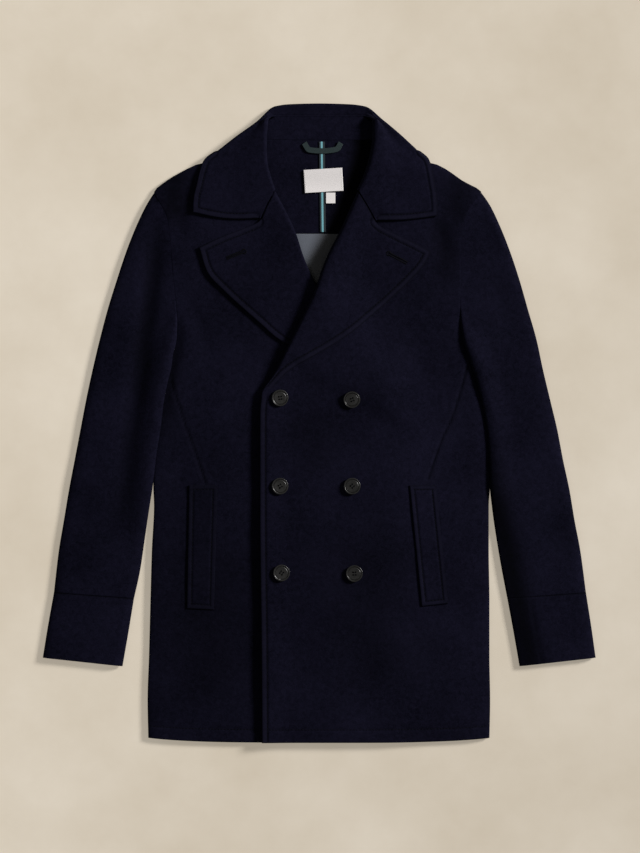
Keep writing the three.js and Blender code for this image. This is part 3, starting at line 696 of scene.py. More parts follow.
def grid_area(grid: Grid) -> float:
    """Area of a grid's surface.

    Args:
        grid: Points of the surface.

    Returns:
        The area.
    """
    across = grid[:-1, 1:] - grid[:-1, :-1]
    down = grid[1:, :-1] - grid[:-1, :-1]
    far_across = grid[1:, 1:] - grid[1:, :-1]
    far_down = grid[1:, 1:] - grid[:-1, 1:]
    near = np.linalg.norm(np.cross(across, down), axis=2)
    far = np.linalg.norm(np.cross(far_across, far_down), axis=2)
    return float((near + far).sum() / 2)


def wall(
    name: str,
    outer: Grid,
    inner: Grid,
    ridge: Array | None = None,
    ring: bool = False,
    painted_shade: Array | None = None,
) -> Piece:
    """Sews an outer and an inner grid into one closed cloth wall.

    Args:
        name: The piece's name.
        outer: Points of the shown face, rows by columns.
        inner: Points of the hidden face.
        ridge: How brushed each shown point is, from 0 to 1.
        ring: Whether the columns close on themselves.
        painted_shade: How shaded each shown point is, from 0 to 1.

    Returns:
        The piece.
    """
    rows, columns = outer.shape[:2]
    points = np.concatenate([outer.reshape(-1, 3), inner.reshape(-1, 3)])
    index = np.arange(rows * columns).reshape(rows, columns)
    if ring:
        index = np.concatenate([index, index[:, :1]], axis=1)
    under = index + rows * columns
    corners = [index[:-1, :-1], index[:-1, 1:], index[1:, 1:], index[1:, :-1]]
    faces = [np.stack([c.ravel() for c in corners], axis=1)]
    corners = [under[:-1, :-1], under[1:, :-1], under[1:, 1:], under[:-1, 1:]]
    faces.append(np.stack([c.ravel() for c in corners], axis=1))
    faces.append(np.stack([index[0, 1:], index[0, :-1], under[0, :-1], under[0, 1:]], axis=1))
    faces.append(np.stack([index[-1, :-1], index[-1, 1:], under[-1, 1:], under[-1, :-1]], axis=1))
    if not ring:
        faces.append(np.stack([index[:-1, 0], index[1:, 0], under[1:, 0], under[:-1, 0]], axis=1))
        faces.append(np.stack([index[1:, -1], index[:-1, -1], under[:-1, -1], under[1:, -1]], axis=1))
    faces = np.concatenate(faces)
    a, b, c, d = (points[faces[:, k]] for k in range(4))
    volume = (a * np.cross(b, c)).sum() + (a * np.cross(c, d)).sum()
    if volume < 0:
        faces = faces[:, ::-1]
    mesh = bpy.data.meshes.new(name)
    mesh.vertices.add(len(points))
    mesh.vertices.foreach_set("co", points.astype(np.float32).ravel())
    mesh.loops.add(faces.size)
    mesh.loops.foreach_set("vertex_index", faces.astype(np.int32).ravel())
    mesh.polygons.add(len(faces))
    mesh.polygons.foreach_set("loop_start", np.arange(0, faces.size, 4, dtype=np.int32))
    mesh.polygons.foreach_set("use_smooth", np.ones(len(faces), bool))
    mesh.update(calc_edges=True)
    steps_across = np.linalg.norm(np.diff(outer, axis=1), axis=2)
    steps_down = np.linalg.norm(np.diff(outer, axis=0), axis=2)
    across = np.concatenate([np.zeros((rows, 1)), np.cumsum(steps_across, axis=1)], axis=1)
    down = np.concatenate([np.zeros((1, columns)), np.cumsum(steps_down, axis=0)], axis=0)
    flat = np.stack([across, down], axis=2).reshape(-1, 2)
    layer = mesh.uv_layers.new(name="cloth")
    layer.data.foreach_set("uv", np.concatenate([flat, flat])[faces.ravel()].astype(np.float32).ravel())
    # Two marks on the cloth's points: brushed wear of the nap, and painted shade, which draws the colour
    # towards near black.
    for label, share in (("brushed", ridge), ("painted_shade", painted_shade)):
        values = np.zeros(len(points), np.float32)
        if share is not None:
            values[: rows * columns] = np.clip(share, 0, 1).ravel()
        mesh.attributes.new(label, "FLOAT", "POINT").data.foreach_set("value", values)
    mesh.validate()
    piece = bpy.data.objects.new(name, mesh)
    bpy.context.scene.collection.objects.link(piece)
    return piece


# Near black that painted shade draws the cloth's colour towards: in crevices, seams, grooves and creases, in
# patches, and under the right roll.
DEEP_SHADE = (0.0004, 0.0004, 0.0006, 1.0)


def add_node(
    tree: Tree, kind: str, values: dict | None = None, feeds: dict | None = None, **settings: object
) -> Node:
    """Adds a shader node.

    Args:
        tree: The nodes of the material or group.
        kind: The node's type.
        values: Constants of its inputs, by name or place.
        feeds: Sockets that feed its inputs, by name or place.
        settings: The node's own settings.

    Returns:
        The node.
    """
    node = tree.nodes.new(kind)
    for name, value in settings.items():
        setattr(node, name, value)
    for name, value in (values or {}).items():
        node.inputs[name].default_value = value
    for name, socket in (feeds or {}).items():
        tree.links.new(socket, node.inputs[name])
    return node


def open_group(name: str, inputs: dict, outputs: Sequence[str]) -> Tree:
    """Starts a shader group whose sockets are all plain numbers.

    Args:
        name: The group's name.
        inputs: Default of each input by its name.
        outputs: Names of the outputs.

    Returns:
        The group's nodes.
    """
    tree = bpy.data.node_groups.new(name, "ShaderNodeTree")
    for label, default in inputs.items():
        socket = tree.interface.new_socket(label, in_out="INPUT", socket_type="NodeSocketFloat")
        socket.default_value = default
    for label in outputs:
        tree.interface.new_socket(label, in_out="OUTPUT", socket_type="NodeSocketFloat")
    return tree


@dataclass(frozen=True)
class NapGroup:
    """The shader group of fulled cloth: broad shading, felted clumps and short fibres.

    Args:
        name: The group's name.
        noises: Name, scale, detail and distortion of each noise.
        shade_weights: Weight of each in the shade, in the same order.
        height_weights: Weight of each in the relief.
        spread: Lowest and highest usual shade, opened out to the full range.
    """

    name: str = "fulled_nap"
    noises: tuple = (("Fibre", 900.0, 3.0, 0.4), ("Clump", 170.0, 3.0, 0.8), ("Broad", 9.0, 2.0, 0.0))
    shade_weights: tuple = (0.38, 0.32, 0.30)
    height_weights: tuple = (0.55, 0.45)
    spread: tuple = (0.31, 0.71)

    def make(self) -> Tree:
        """Builds the group once.

        Returns:
            The group.
        """
        known = bpy.data.node_groups.get(self.name)
        if known:
            return known
        tree = open_group(self.name, {f"{row[0]} Scale": row[1] for row in self.noises}, ("Shade", "Height"))
        entry = add_node(tree, "NodeGroupInput")
        place = add_node(tree, "ShaderNodeTexCoord").outputs["Object"]
        found = []
        for label, _, detail, distortion in self.noises:
            feeds = {"Vector": place, "Scale": entry.outputs[f"{label} Scale"]}
            noise = add_node(tree, "ShaderNodeTexNoise", {"Detail": detail, "Distortion": distortion}, feeds)
            found.append(noise.outputs["Fac"])
        shade = self.weigh(tree, found, self.shade_weights)
        height = self.weigh(tree, found, self.height_weights)
        low, high = self.spread
        spread = add_node(tree, "ShaderNodeMapRange", {"From Min": low, "From Max": high}, {"Value": shade})
        add_node(tree, "NodeGroupOutput", None, {"Shade": spread.outputs["Result"], "Height": height})
        return tree

    def weigh(self, tree: Tree, noises: Sequence[Socket], weights: Sequence[float]) -> Socket:
        """Adds noises by weight.

        Args:
            tree: The group.
            noises: The noises' sockets.
            weights: Weight of each.

        Returns:
            The sum's socket.
        """
        total = None
        for noise, weight in zip(noises, weights):
            values = {1: weight, 2: 0.0}
            scaled = add_node(tree, "ShaderNodeMath", values, {0: noise}, operation="MULTIPLY_ADD")
            if total is not None:
                tree.links.new(total, scaled.inputs[2])
            total = scaled.outputs[0]
        return total


@dataclass(frozen=True)
class WeaveGroup:
    """The shader group of woven threads, read along the cloth's own length and width."""

    name: str = "woven_threads"
    threads: float = 1500.0

    def make(self) -> Tree:
        """Builds the group once.

        Returns:
            The group.
        """
        known = bpy.data.node_groups.get(self.name)
        if known:
            return known
        sizes = {"Across": self.threads, "Along": self.threads, "Slant": 0.0}
        tree = open_group(self.name, sizes, ("Height",))
        entry = add_node(tree, "NodeGroupInput")
        cloth = add_node(tree, "ShaderNodeUVMap", uv_map="cloth")
        split = add_node(tree, "ShaderNodeSeparateXYZ", None, {0: cloth.outputs["UV"]})

        def worked(operation: str, first: Socket, second: Socket | None = None) -> Socket:
            """Output of an arithmetic node with one or two inputs."""
            feeds = {0: first} if second is None else {0: first, 1: second}
            return add_node(tree, "ShaderNodeMath", {}, feeds, operation=operation).outputs[0]

        slanted = worked("MULTIPLY", split.outputs["Y"], entry.outputs["Slant"])
        across = worked("MULTIPLY", worked("ADD", split.outputs["X"], slanted), entry.outputs["Across"])
        along = worked("MULTIPLY", split.outputs["Y"], entry.outputs["Along"])
        warp, weft = (worked("ABSOLUTE", worked("SINE", threads)) for threads in (across, along))
        both = {0: worked("ADD", warp, weft)}
        half = add_node(tree, "ShaderNodeMath", {1: 0.5}, both, operation="MULTIPLY")
        add_node(tree, "NodeGroupOutput", None, {"Height": half.outputs[0]})
        return tree


def linear(red: float, green: float, blue: float) -> Colour:
    """A screen colour from 0 to 255 as the light it stands for.

    Args:
        red: Its red.
        green: Its green.
        blue: Its blue.

    Returns:
        The light, with full opacity.
    """
    parts = [v / 255 for v in (red, green, blue)]
    light = [v / 12.92 if v <= 0.04045 else ((v + 0.055) / 1.055) ** 2.4 for v in parts]
    return (*light, 1.0)


@dataclass(frozen=True)
class Finish:
    """What every finish has: a name, two shades, roughness and relief.

    Args:
        name: The material's name.
        dark: Deeper shade, as light.
        pale: Lighter shade, as light.
        roughness: Roughness of the surface.
        relief: Depth of the bump.
    """

    name: str
    dark: Colour
    pale: Colour
    roughness: float
    relief: float

    def start(self, strength: float, values: dict) -> tuple[Material, Node, Node]:
        """Starts the material, with its shader and a bump that feeds it.

        Args:
            strength: Strength of the bump.
            values: Constants of the shader's inputs.

        Returns:
            The material, the shader and the bump node.
        """
        material = bpy.data.materials.new(self.name)
        material.use_nodes = True
        tree = material.node_tree
        shader = tree.nodes["Principled BSDF"]
        for name, value in {"Roughness": self.roughness, **values}.items():
            shader.inputs[name].default_value = value
        bump = add_node(tree, "ShaderNodeBump", {"Distance": self.relief, "Strength": strength})
        tree.links.new(bump.outputs["Normal"], shader.inputs["Normal"])
        return material, shader, bump

    def shades(self, tree: Tree, mask: Socket) -> Socket:
        """The two shades mixed by a mask."""
        values = {"A": self.dark, "B": self.pale}
        return add_node(tree, "ShaderNodeMix", values, {"Factor": mask}, data_type="RGBA").outputs["Result"]

    def marked(self, tree: Tree, colour: Socket, mark: str, towards: Colour) -> Socket:
        """The colour, drawn towards another where the cloth carries a mark.

        Args:
            tree: The material's nodes.
            colour: The colour so far.
            mark: Name of the mark on the cloth's points.
            towards: The other colour.

        Returns:
            The new colour's socket.
        """
        share = add_node(tree, "ShaderNodeAttribute", attribute_name=mark).outputs["Fac"]
        feeds = {"Factor": share, "A": colour}
        return add_node(tree, "ShaderNodeMix", {"B": towards}, feeds, data_type="RGBA").outputs["Result"]

    def weave(self, tree: Tree, across: float, along: float, slant: float = 0.0) -> Socket:
        """Height of the woven threads."""
        values = {"Across": across, "Along": along, "Slant": slant}
        return add_node(tree, "ShaderNodeGroup", values, node_tree=WeaveGroup().make()).outputs["Height"]


@dataclass(frozen=True)
class WoolFinish(Finish):
    """Heavy fulled wool with a short nap and a faint sheen.

    Args:
        sheen: Weight of the sheen.
        brushed: Shade of the brushed ridges.
    """

    sheen: float = 0.02
    brushed: Colour = (0.0070, 0.0066, 0.0140, 1.0)

    def make(self) -> Material:
        """Builds the material.

        Returns:
            The material.
        """
        sheen = {"Sheen Weight": self.sheen, "Sheen Roughness": 0.55, "Sheen Tint": (0.35, 0.38, 0.62, 1.0)}
        material, shader, bump = self.start(0.55, {"Specular IOR Level": 0.02, **sheen})
        tree = material.node_tree
        nap = add_node(tree, "ShaderNodeGroup", node_tree=NapGroup().make())
        worn = self.marked(tree, self.shades(tree, nap.outputs["Shade"]), "brushed", self.brushed)
        # Painted shade: the colour is drawn towards near black where the cloth is marked.
        tree.links.new(self.marked(tree, worn, "painted_shade", DEEP_SHADE), shader.inputs["Base Color"])
        tree.links.new(nap.outputs["Height"], bump.inputs["Height"])
        return material


@dataclass(frozen=True)
class WovenFinish(Finish):
    """A woven cloth: lining, loop or label.

    Args:
        across: Threads across, in radians a metre.
        along: Threads along, in radians a metre.
        slant: Slant of a twill.
        sheen: Weight of the sheen.
        specular: Strength of its gloss.
    """

    across: float = 6000.0
    along: float = 6000.0
    slant: float = 0.0
    sheen: float = 0.1
    specular: float = 0.3

    def make(self) -> Material:
        """Builds the material.

        Returns:
            The material.
        """
        gloss = {"Sheen Weight": self.sheen, "Specular IOR Level": self.specular}
        material, shader, bump = self.start(0.6, gloss)
        tree = material.node_tree
        height = self.weave(tree, self.across, self.along, self.slant)
        # Painted shade: the colour is drawn towards near black where the cloth is marked.
        colour = self.marked(tree, self.shades(tree, height), "painted_shade", DEEP_SHADE)
        tree.links.new(colour, shader.inputs["Base Color"])
        tree.links.new(height, bump.inputs["Height"])
        return material


@dataclass(frozen=True)
class StripedTapeFinish(Finish):
    """The centre tape: a pale core between dark edges, striped along its length.

    Args:
        width: Width of the tape.
        core: Share of the width that the core takes.
        blur: Share of the width over which a stripe's edge fades.
        threads: Threads across and along, in radians a metre.
    """

    width: float = 0.008
    core: float = 0.27
    blur: float = 0.06
    threads: tuple[float, float] = (7000.0, 5000.0)

    def make(self) -> Material:
        """Builds the material.

        Returns:
            The material.
        """
        material, shader, bump = self.start(0.5, {})
        tree = material.node_tree
        cloth = add_node(tree, "ShaderNodeUVMap", uv_map="cloth")
        split = add_node(tree, "ShaderNodeSeparateXYZ", None, {0: cloth.outputs["UV"]})
        share = add_node(tree, "ShaderNodeMath", {1: self.width}, {0: split.outputs["X"]}, operation="DIVIDE")
        ramp = add_node(tree, "ShaderNodeValToRGB", None, {"Fac": share.outputs[0]})
        low, high, blur = 0.5 - self.core / 2, 0.5 + self.core / 2, self.blur
        for end in ramp.color_ramp.elements:
            end.color = self.dark
        stripes = (low - blur, self.dark), (low, self.pale), (high, self.pale), (high + blur, self.dark)
        for place, colour in stripes:
            ramp.color_ramp.elements.new(place).color = colour
        tree.links.new(ramp.outputs["Color"], shader.inputs["Base Color"])
        tree.links.new(self.weave(tree, *self.threads), bump.inputs["Height"])
        return material


@dataclass(frozen=True)
class HornFinish(Finish):
    """Polished dark horn with drifting streaks."""

    def make(self) -> Material:
        """Builds the material.

        Returns:
            The material.
        """
        material, shader, bump = self.start(0.25, {"Specular IOR Level": 0.6})
        tree = material.node_tree
        place = {"Vector": add_node(tree, "ShaderNodeTexCoord").outputs["Object"]}
        drift = {"Scale": 160.0, "Detail": 4.0, "Distortion": 1.6}
        streak = add_node(tree, "ShaderNodeTexNoise", drift, place).outputs["Fac"]
        tree.links.new(self.shades(tree, streak), shader.inputs["Base Color"])
        scratch = add_node(tree, "ShaderNodeTexNoise", {"Scale": 2600.0}, place)
        tree.links.new(scratch.outputs["Fac"], bump.inputs["Height"])
        gloss = {"To Min": self.roughness - 0.08, "To Max": self.roughness + 0.12}
        spread = add_node(tree, "ShaderNodeMapRange", gloss, {"Value": streak})
        tree.links.new(spread.outputs["Result"], shader.inputs["Roughness"])
        return material


WOOL = WoolFinish("navy_melton", linear(2, 2, 6), linear(20, 19, 34), 0.97, 0.0006)
FINISHES = {
    Slot.WOOL: WOOL,
    Slot.SATIN: WovenFinish(
        "satin_lining", linear(54, 57, 64), linear(92, 97, 107), 0.42, 0.0001, 9000.0, 2500.0, specular=0.5
    ),
    Slot.TAPE: StripedTapeFinish("striped_tape", linear(9, 24, 31), linear(100, 156, 166), 0.8, 0.0002),
    Slot.LOOP: WovenFinish(
        "loop_twill", linear(7, 18, 19), linear(28, 44, 45), 0.85, 0.0003, 4200.0, 4200.0, 0.8
    ),
    Slot.LABEL: WovenFinish("blank_label", linear(203, 199, 197), linear(221, 216, 215), 0.75, 0.0001),
    Slot.HORN: HornFinish("dark_horn", linear(7, 7, 7), linear(28, 27, 25), 0.30, 0.00008),
}
THREAD = WovenFinish("navy_thread", linear(1, 1, 3), linear(7, 7, 13), 0.8, 0.0001, sheen=0.0, specular=0.08)
LABEL_THREAD = WovenFinish("label_thread", linear(200, 196, 192), linear(226, 222, 218), 0.6, 0.0001)


@dataclass
class Workroom:
    """Keeps each finish's material and hands finished pieces to the frame."""

    materials: dict = field(default_factory=dict)

    def cloth(self, finish: Finish) -> bpy.types.Material:
        """The finish's material, made once.

        Args:
            finish: The finish.

        Returns:
            The material.
        """
        if finish.name not in self.materials:
            self.materials[finish.name] = finish.make()
        return self.materials[finish.name]

    def dress(
        self, piece: Piece, slot: Slot, node: str | None = None, finish: Finish | None = None
    ) -> Piece:
        """Gives a piece its finish and its body, and hides the node that it replaces.

        Args:
            piece: The piece.
            slot: The record's slot.
            node: The node that it replaces.
            finish: Its finish, where it isn't the slot's own.

        Returns:
            The piece.
        """
        piece.data.materials.clear()
        piece.data.materials.append(self.cloth(finish or FINISHES[slot]))
        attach(piece, "root")
        if node:
            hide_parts(node)
        log.info("%s: %d faces", piece.name, len(piece.data.polygons))
        return piece

    def declare(self, piece: Piece, outer: Grid, ring: bool = False) -> None:
        """Logs the flat cut of a cloth piece.

        Args:
            piece: The piece.
            outer: Points of its shown face.
            ring: Whether it is a tube.
        """
        closed = np.concatenate([outer, outer[:, :1]], axis=1) if ring else outer
        width = float(np.linalg.norm(np.diff(closed, axis=1), axis=2).sum(axis=1).max())
        length = float(np.linalg.norm(np.diff(closed, axis=0), axis=2).sum(axis=0).max())
        flat = (round(width, 4), round(length, 4))
        area = min(grid_area(closed), flat[0] * flat[1])
        log.info("cut of %s: %.3f x %.3f m, %.4f m2", piece.name, *flat, area)


ROOM = Workroom()


def height_finder(*pieces: Piece) -> Finder:
    """A function that finds the top surface over a point.

    Args:
        pieces: The pieces to look at.

    Returns:
        A function from x and y to the point of the surface and its normal.
    """
    trees = []
    for piece in pieces:
        polygons = [tuple(p.vertices) for p in piece.data.polygons]
        trees.append(BVHTree.FromPolygons([v.co for v in piece.data.vertices], polygons))

    def find(x: float, y: float) -> tuple[Vector, Vector]:
        """The highest point over x and y, with its normal.

        Args:
            x: Distance to the right.
            y: Distance up the photo.

        Returns:
            The point and its normal.
        """
        best = (Vector((x, y, 0.0)), Vector((0, 0, 1)))
        for tree in trees:
            spot, normal, _, _ = tree.ray_cast(Vector((x, y, 0.2)), Vector((0, 0, -1)))
            if spot is not None and spot.z > best[0].z:
                best = (spot, normal)
        return best

    return find


@dataclass
class Stitches:
    """Rows of thread sewn into the cloth, joined into one piece.

    Args:
        name: The piece's name.
        length: Length of a stitch.
        gap: Gap between stitches.
        radius: Radius of the thread.
    """

    name: str
    length: float = 0.0034
    gap: float = 0.0011
    radius: float = 0.00032
    points: list = field(default_factory=list)
    faces: list = field(default_factory=list)

    def stitch(self, start: Vector, end: Vector, normal: Vector) -> None:
        """Adds one stitch.

        Args:
            start: Where the thread comes up.
            end: Where it goes down.
            normal: The cloth's normal.
        """
        sides, rings = 6, 5
        way = end - start
        side = way.cross(normal).normalized()
        base = len(self.points)
        for ring in range(rings):
            share = ring / (rings - 1)
            girth = self.radius * (0.45 + 0.55 * math.sin(math.pi * (0.12 + 0.76 * share)))
            centre = start + way * share + normal * (self.radius * (math.sin(math.pi * share) * 1.1 - 0.35))
            for k in range(sides):
                turn = 2 * math.pi * k / sides
                across, up = girth * math.cos(turn), girth * math.sin(turn)
                self.points.append(centre + side * across + normal * up)
        for ring in range(rings - 1):
            for k in range(sides):
                low, high = base + ring * sides, base + (ring + 1) * sides
                nxt = (k + 1) % sides
                self.faces.append((low + k, low + nxt, high + nxt, high + k))
        self.faces.append(tuple(base + k for k in reversed(range(sides))))
        self.faces.append(tuple(base + (rings - 1) * sides + k for k in range(sides)))

    def row(self, line: Line, find: Finder) -> None:
        """Sews a running row along a line on the cloth.

        Args:
            line: Points of the line.
            find: Finds the cloth's top.
        """
        pitch = self.length + self.gap
        for k in range(int(line.length / pitch)):
            first = line(k * pitch / line.length)
            last = line((k * pitch + self.length) / line.length)
            start, normal = find(float(first[0]), float(first[1]))
            end, _ = find(float(last[0]), float(last[1]))
            if min(start.z, end.z) > 0.001:
                self.stitch(start, end, normal)

    def buttonhole(self, start: Sequence[float], end: Sequence[float], find: Finder) -> None:
        """Works a keyhole buttonhole in close stitches on both sides of its slit.

        Args:
            start: The slit's plain end.
            end: The slit's eye.
            find: Finds the cloth's surface.
        """
        first, last = np.array(start), np.array(end)
        ahead = (last - first) / np.linalg.norm(last - first)
        beside = np.array([-ahead[1], ahead[0]])
        length = float(np.linalg.norm(last - first))
        pitch, reach, slit, eye = 0.0007, 0.0026, 0.0005, 0.0016
        for k in range(int(length / pitch)):
            spot = first + ahead * k * pitch
            for turn in (-1, 1):
                near, far = spot + beside * turn * slit, spot + beside * turn * reach
                self.stitch(find(*near)[0], find(*far)[0], find(*far)[1])
        for k in range(13):
            turn = math.pi * (k / 12 - 0.5) * 1.25
            way = ahead * math.cos(turn) + beside * math.sin(turn)
            near, far = last + way * eye, last + way * (eye + reach)
            self.stitch(find(*near)[0], find(*far)[0], find(*far)[1])

    def make(self, finish: Finish = THREAD, slot: Slot = Slot.WOOL) -> Piece:
        """Builds the piece from all its stitches and dresses it.

        Args:
            finish: The thread's finish.
            slot: The record's slot.

        Returns:
            The piece.
        """
        mesh = bpy.data.meshes.new(self.name)
        mesh.from_pydata([tuple(p) for p in self.points], [], self.faces)
        mesh.polygons.foreach_set("use_smooth", np.ones(len(mesh.polygons), bool))
        mesh.uv_layers.new(name="cloth")
        mesh.update()
        piece = bpy.data.objects.new(self.name, mesh)
        bpy.context.scene.collection.objects.link(piece)
        return ROOM.dress(piece, slot, finish=finish)


def laid_grid(place: Place, rows: Array, shares: Array, top: Height) -> Grid:
    """Points of a panel laid flat.

    Args:
        place: Gives x and y from the share across and the row's value.
        rows: Value of each row.
        shares: Share across of each column, the same or one line for each row.
        top: Height of the panel's top.

    Returns:
        The grid.
    """
    shares = np.broadcast_to(shares, (len(rows), shares.shape[-1]))
    x, y = place(shares, np.broadcast_to(rows[:, None], shares.shape))
    return np.stack([x, y, top(x, y)], axis=2)


def hemmed(x: Array, y: Array) -> Array:
    """Y of a point once the hem hangs a little lower in the middle."""
    share = np.minimum(1, np.abs(x) / 0.240)
    return y - HEM_DROP * (1 - share**4) * (1 - ease(y, HEM_Y, HEM_Y + 0.060))


def nape_y(x: Array) -> Array:
    """Y of the back neck seam."""
    return NAPE_Y + 0.002 * np.minimum(1, np.abs(x) / 0.088) ** 3


def finished_wall(outer: Grid, thickness: float, distance: Array, rim: float) -> Grid:
    """The hidden face of a flat panel, with its rim rounded from below.

    Args:
        outer: The shown face before its rim was rounded.
        thickness: The cloth's thickness.
        distance: Distance of each point from the nearest edge.
        rim: Radius of the rim.

    Returns:
        The hidden face.
    """
    inner = outer.copy()
    inner[..., 2] -= thickness - rim * 0.8 * (1 - rounded(distance, rim))
    return inner


def inside(outer: Grid, normal: Grid, thickness: float, from_edge: Array) -> Grid:
    """The hidden face of a turned leaf, drawn in at its edges.

    Args:
        outer: The shown face.
        normal: Its normals.
        thickness: The cloth's thickness.
        from_edge: Distance of each point from the nearest edge.

    Returns:
        The hidden face.
    """
    return outer - normal * thickness + normal * (UNDER_RIM * (1 - rounded(from_edge, CREVICE)))[..., None]


@dataclass
class Back:
    """The back, from hem to neck seam, flat on the surface."""

    columns: int = 90
    rows: int = 150

    def place(self, share: Array, y: Array) -> Pair:
        """x and y of a point of the back.

        Args:
            share: Share of the width.
            y: Distance up the photo.

        Returns:
            x and y.
        """
        x = lerp(BODY_RAIL["left"](y), BODY_RAIL["right"](y), share)
        cut = (NECK_POINT_Y - nape_y(x)) * ease(y, 0.330, NECK_POINT_Y)
        return x, hemmed(x, y) - cut

    def build(self) -> Piece:
        """Builds and dresses the back.

        Returns:
            The cloth.
        """
        span = NECK_POINT_Y - HEM_Y
        rows = HEM_Y + span * stations(span, self.rows, RIM_LINES, RIM_LINES)
        shares = stations(0.45, self.columns, RIM_LINES, RIM_LINES)
        outer = laid_grid(self.place, rows, shares, LAY.back_top)
        width = (BODY_RAIL["right"](rows) - BODY_RAIL["left"](rows))[:, None]
        from_side = np.minimum(shares, 1 - shares) * width
        distance = np.minimum(from_side, (rows - HEM_Y)[:, None])
        inner = outer.copy()
        inner[..., 2] -= BACK_WALL
        outer[..., 2] -= 0.0008 * (1 - rounded(distance, 0.0008))
        piece = wall("coat_back", outer, inner)
        ROOM.dress(piece, Slot.WOOL, "back")
        ROOM.declare(piece, outer)
        return piece


@dataclass
class Front:
    """One front, from its side seam to its edge, with its dart seam, hem and edge stitching.

    Args:
        side: Which front.
        top: Height of its top.
        thickness: The cloth's thickness.
        dart: The dart seam's line, from the armhole to the pocket.
        folds: Soft folds pressed into it.
        shades: Patches of painted shade, darkened into the cloth's colour.
    """

    side: Side
    top: Height
    thickness: float
    dart: Route
    folds: Sequence[Fold]
    shades: Sequence[Fold] = ()
    columns: int = 150
    rows: int = 150

    def place(self, share: Array, y: Array) -> Pair:
        """x and y of a point of the front.

        Args:
            share: Share of the width.
            y: Distance up the photo.

        Returns:
            x and y.
        """
        name, sign = self.side.word, self.side.value
        notch = 0.005 * (1 - ease(np.abs(y - GORGE_Y + 0.006), 0.012, 0.030))
        pressed = 1 - ease(y, 0.225, GORGE_Y - 0.020) if self.side is Side.LEFT else 1 - ease(y, 0.050, 0.120)
        radius = lerp(0.005, 0.0035, pressed)
        tuck = (radius * 1.25 + 0.002 + notch) * ease(y, 0.042, 0.060)
        edge = OPENING_RAIL[name](y) + sign * tuck
        x = lerp(BODY_RAIL[name](y), edge, share)
        return x, hemmed(x, y)

    def form(self, outer: Grid, rows: Array) -> Pair:
        """Presses the seams, stitching and folds into the front.

        Args:
            outer: Points of its top, changed in place.
            rows: Y of each row before the hem's drop.

        Returns:
            How brushed each point is, and how much painted shade it has.
        """
        x, y = outer[..., 0].copy(), outer[..., 1].copy()
        row = rows[:, None] + np.zeros_like(x)
        from_edge = np.abs(x - OPENING_RAIL[self.side.word](row))
        below_break = 1 - ease(row, BREAK_Y - 0.012, BREAK_Y + 0.004)
        from_hem = row - HEM_Y
        rise = np.zeros_like(x)
        if self.side is Side.RIGHT:
            rise += TOPSTITCHED.rise(from_edge) * below_break
        hem = 0.0003 * (1 - ease(from_hem, 0.012, 0.020))
        hem -= 0.0006 * bell(from_hem - HEM_STITCH, 0.0014)
        rise += hem * (1 - 0.8 * (from_edge < 0.009))
        near = distance_to(x, y, Line(self.dart)(np.linspace(0, 1, 40)))
        rise += 0.0004 * bell(near, 0.008) - 0.0017 * bell(near, 0.0014)
        for fold in self.folds:
            rise += fold.height(x, y)
        rise += unevenness(x, y, 0.0004, 11 + self.side.value)
        from_seam = np.abs(x - BODY_RAIL[self.side.word](row))
        calm = rounded(np.minimum(from_seam, from_hem), 0.012)
        outer[..., 2] += rise * calm
        distance = np.minimum(np.minimum(from_seam, from_hem), np.where(row < BREAK_Y, from_edge, 1.0))
        outer[..., 2] -= TOPSTITCHED.rim_drop(distance)
        pad = bell(from_edge - 0.004, 0.003) * below_break
        # Painted shade along the dart seam, the hem stitching and the right front's edge, and in the shade
        # patches.
        painted_shade = 0.7 * bell(near, SEAM_LINE)
        painted_shade = np.maximum(painted_shade, 0.22 * bell(from_hem - HEM_STITCH, GROOVE_LINE))
        if self.side is Side.RIGHT:
            painted_shade = np.maximum(painted_shade, TOPSTITCHED.painted_shade(from_edge) * below_break)
        for patch in self.shades:
            painted_shade = np.maximum(painted_shade, patch.height(x, y))
        return 0.5 * pad + 0.2 * bell(near - 0.0035, 0.002), painted_shade

    def build(self) -> Piece:
        """Builds and dresses the front.

        Returns:
            The cloth.
        """
        name = self.side.word
        span = NECK_POINT_Y - HEM_Y
        rows = HEM_Y + span * stations(span, self.rows, EDGE_LINES * 1.9, RIM_LINES)
        lines = [
            stations(
                float(abs(OPENING_RAIL[name](y) - BODY_RAIL[name](y))), self.columns, RIM_LINES, EDGE_LINES
            )
            for y in rows
        ]
        outer = laid_grid(self.place, rows, np.array(lines), self.top)
        from_seam = np.abs(outer[..., 0] - BODY_RAIL[name](rows)[:, None])
        distance = np.minimum(from_seam, (rows - HEM_Y)[:, None])
        inner = finished_wall(outer, self.thickness, distance, TOPSTITCHED.rim)
        ridge, painted_shade = self.form(outer, rows)
        piece = wall(f"front_{name}_cloth", outer, inner, ridge, painted_shade=painted_shade)
        ROOM.dress(piece, Slot.WOOL, f"front_{name}")
        ROOM.declare(piece, outer)
        return piece


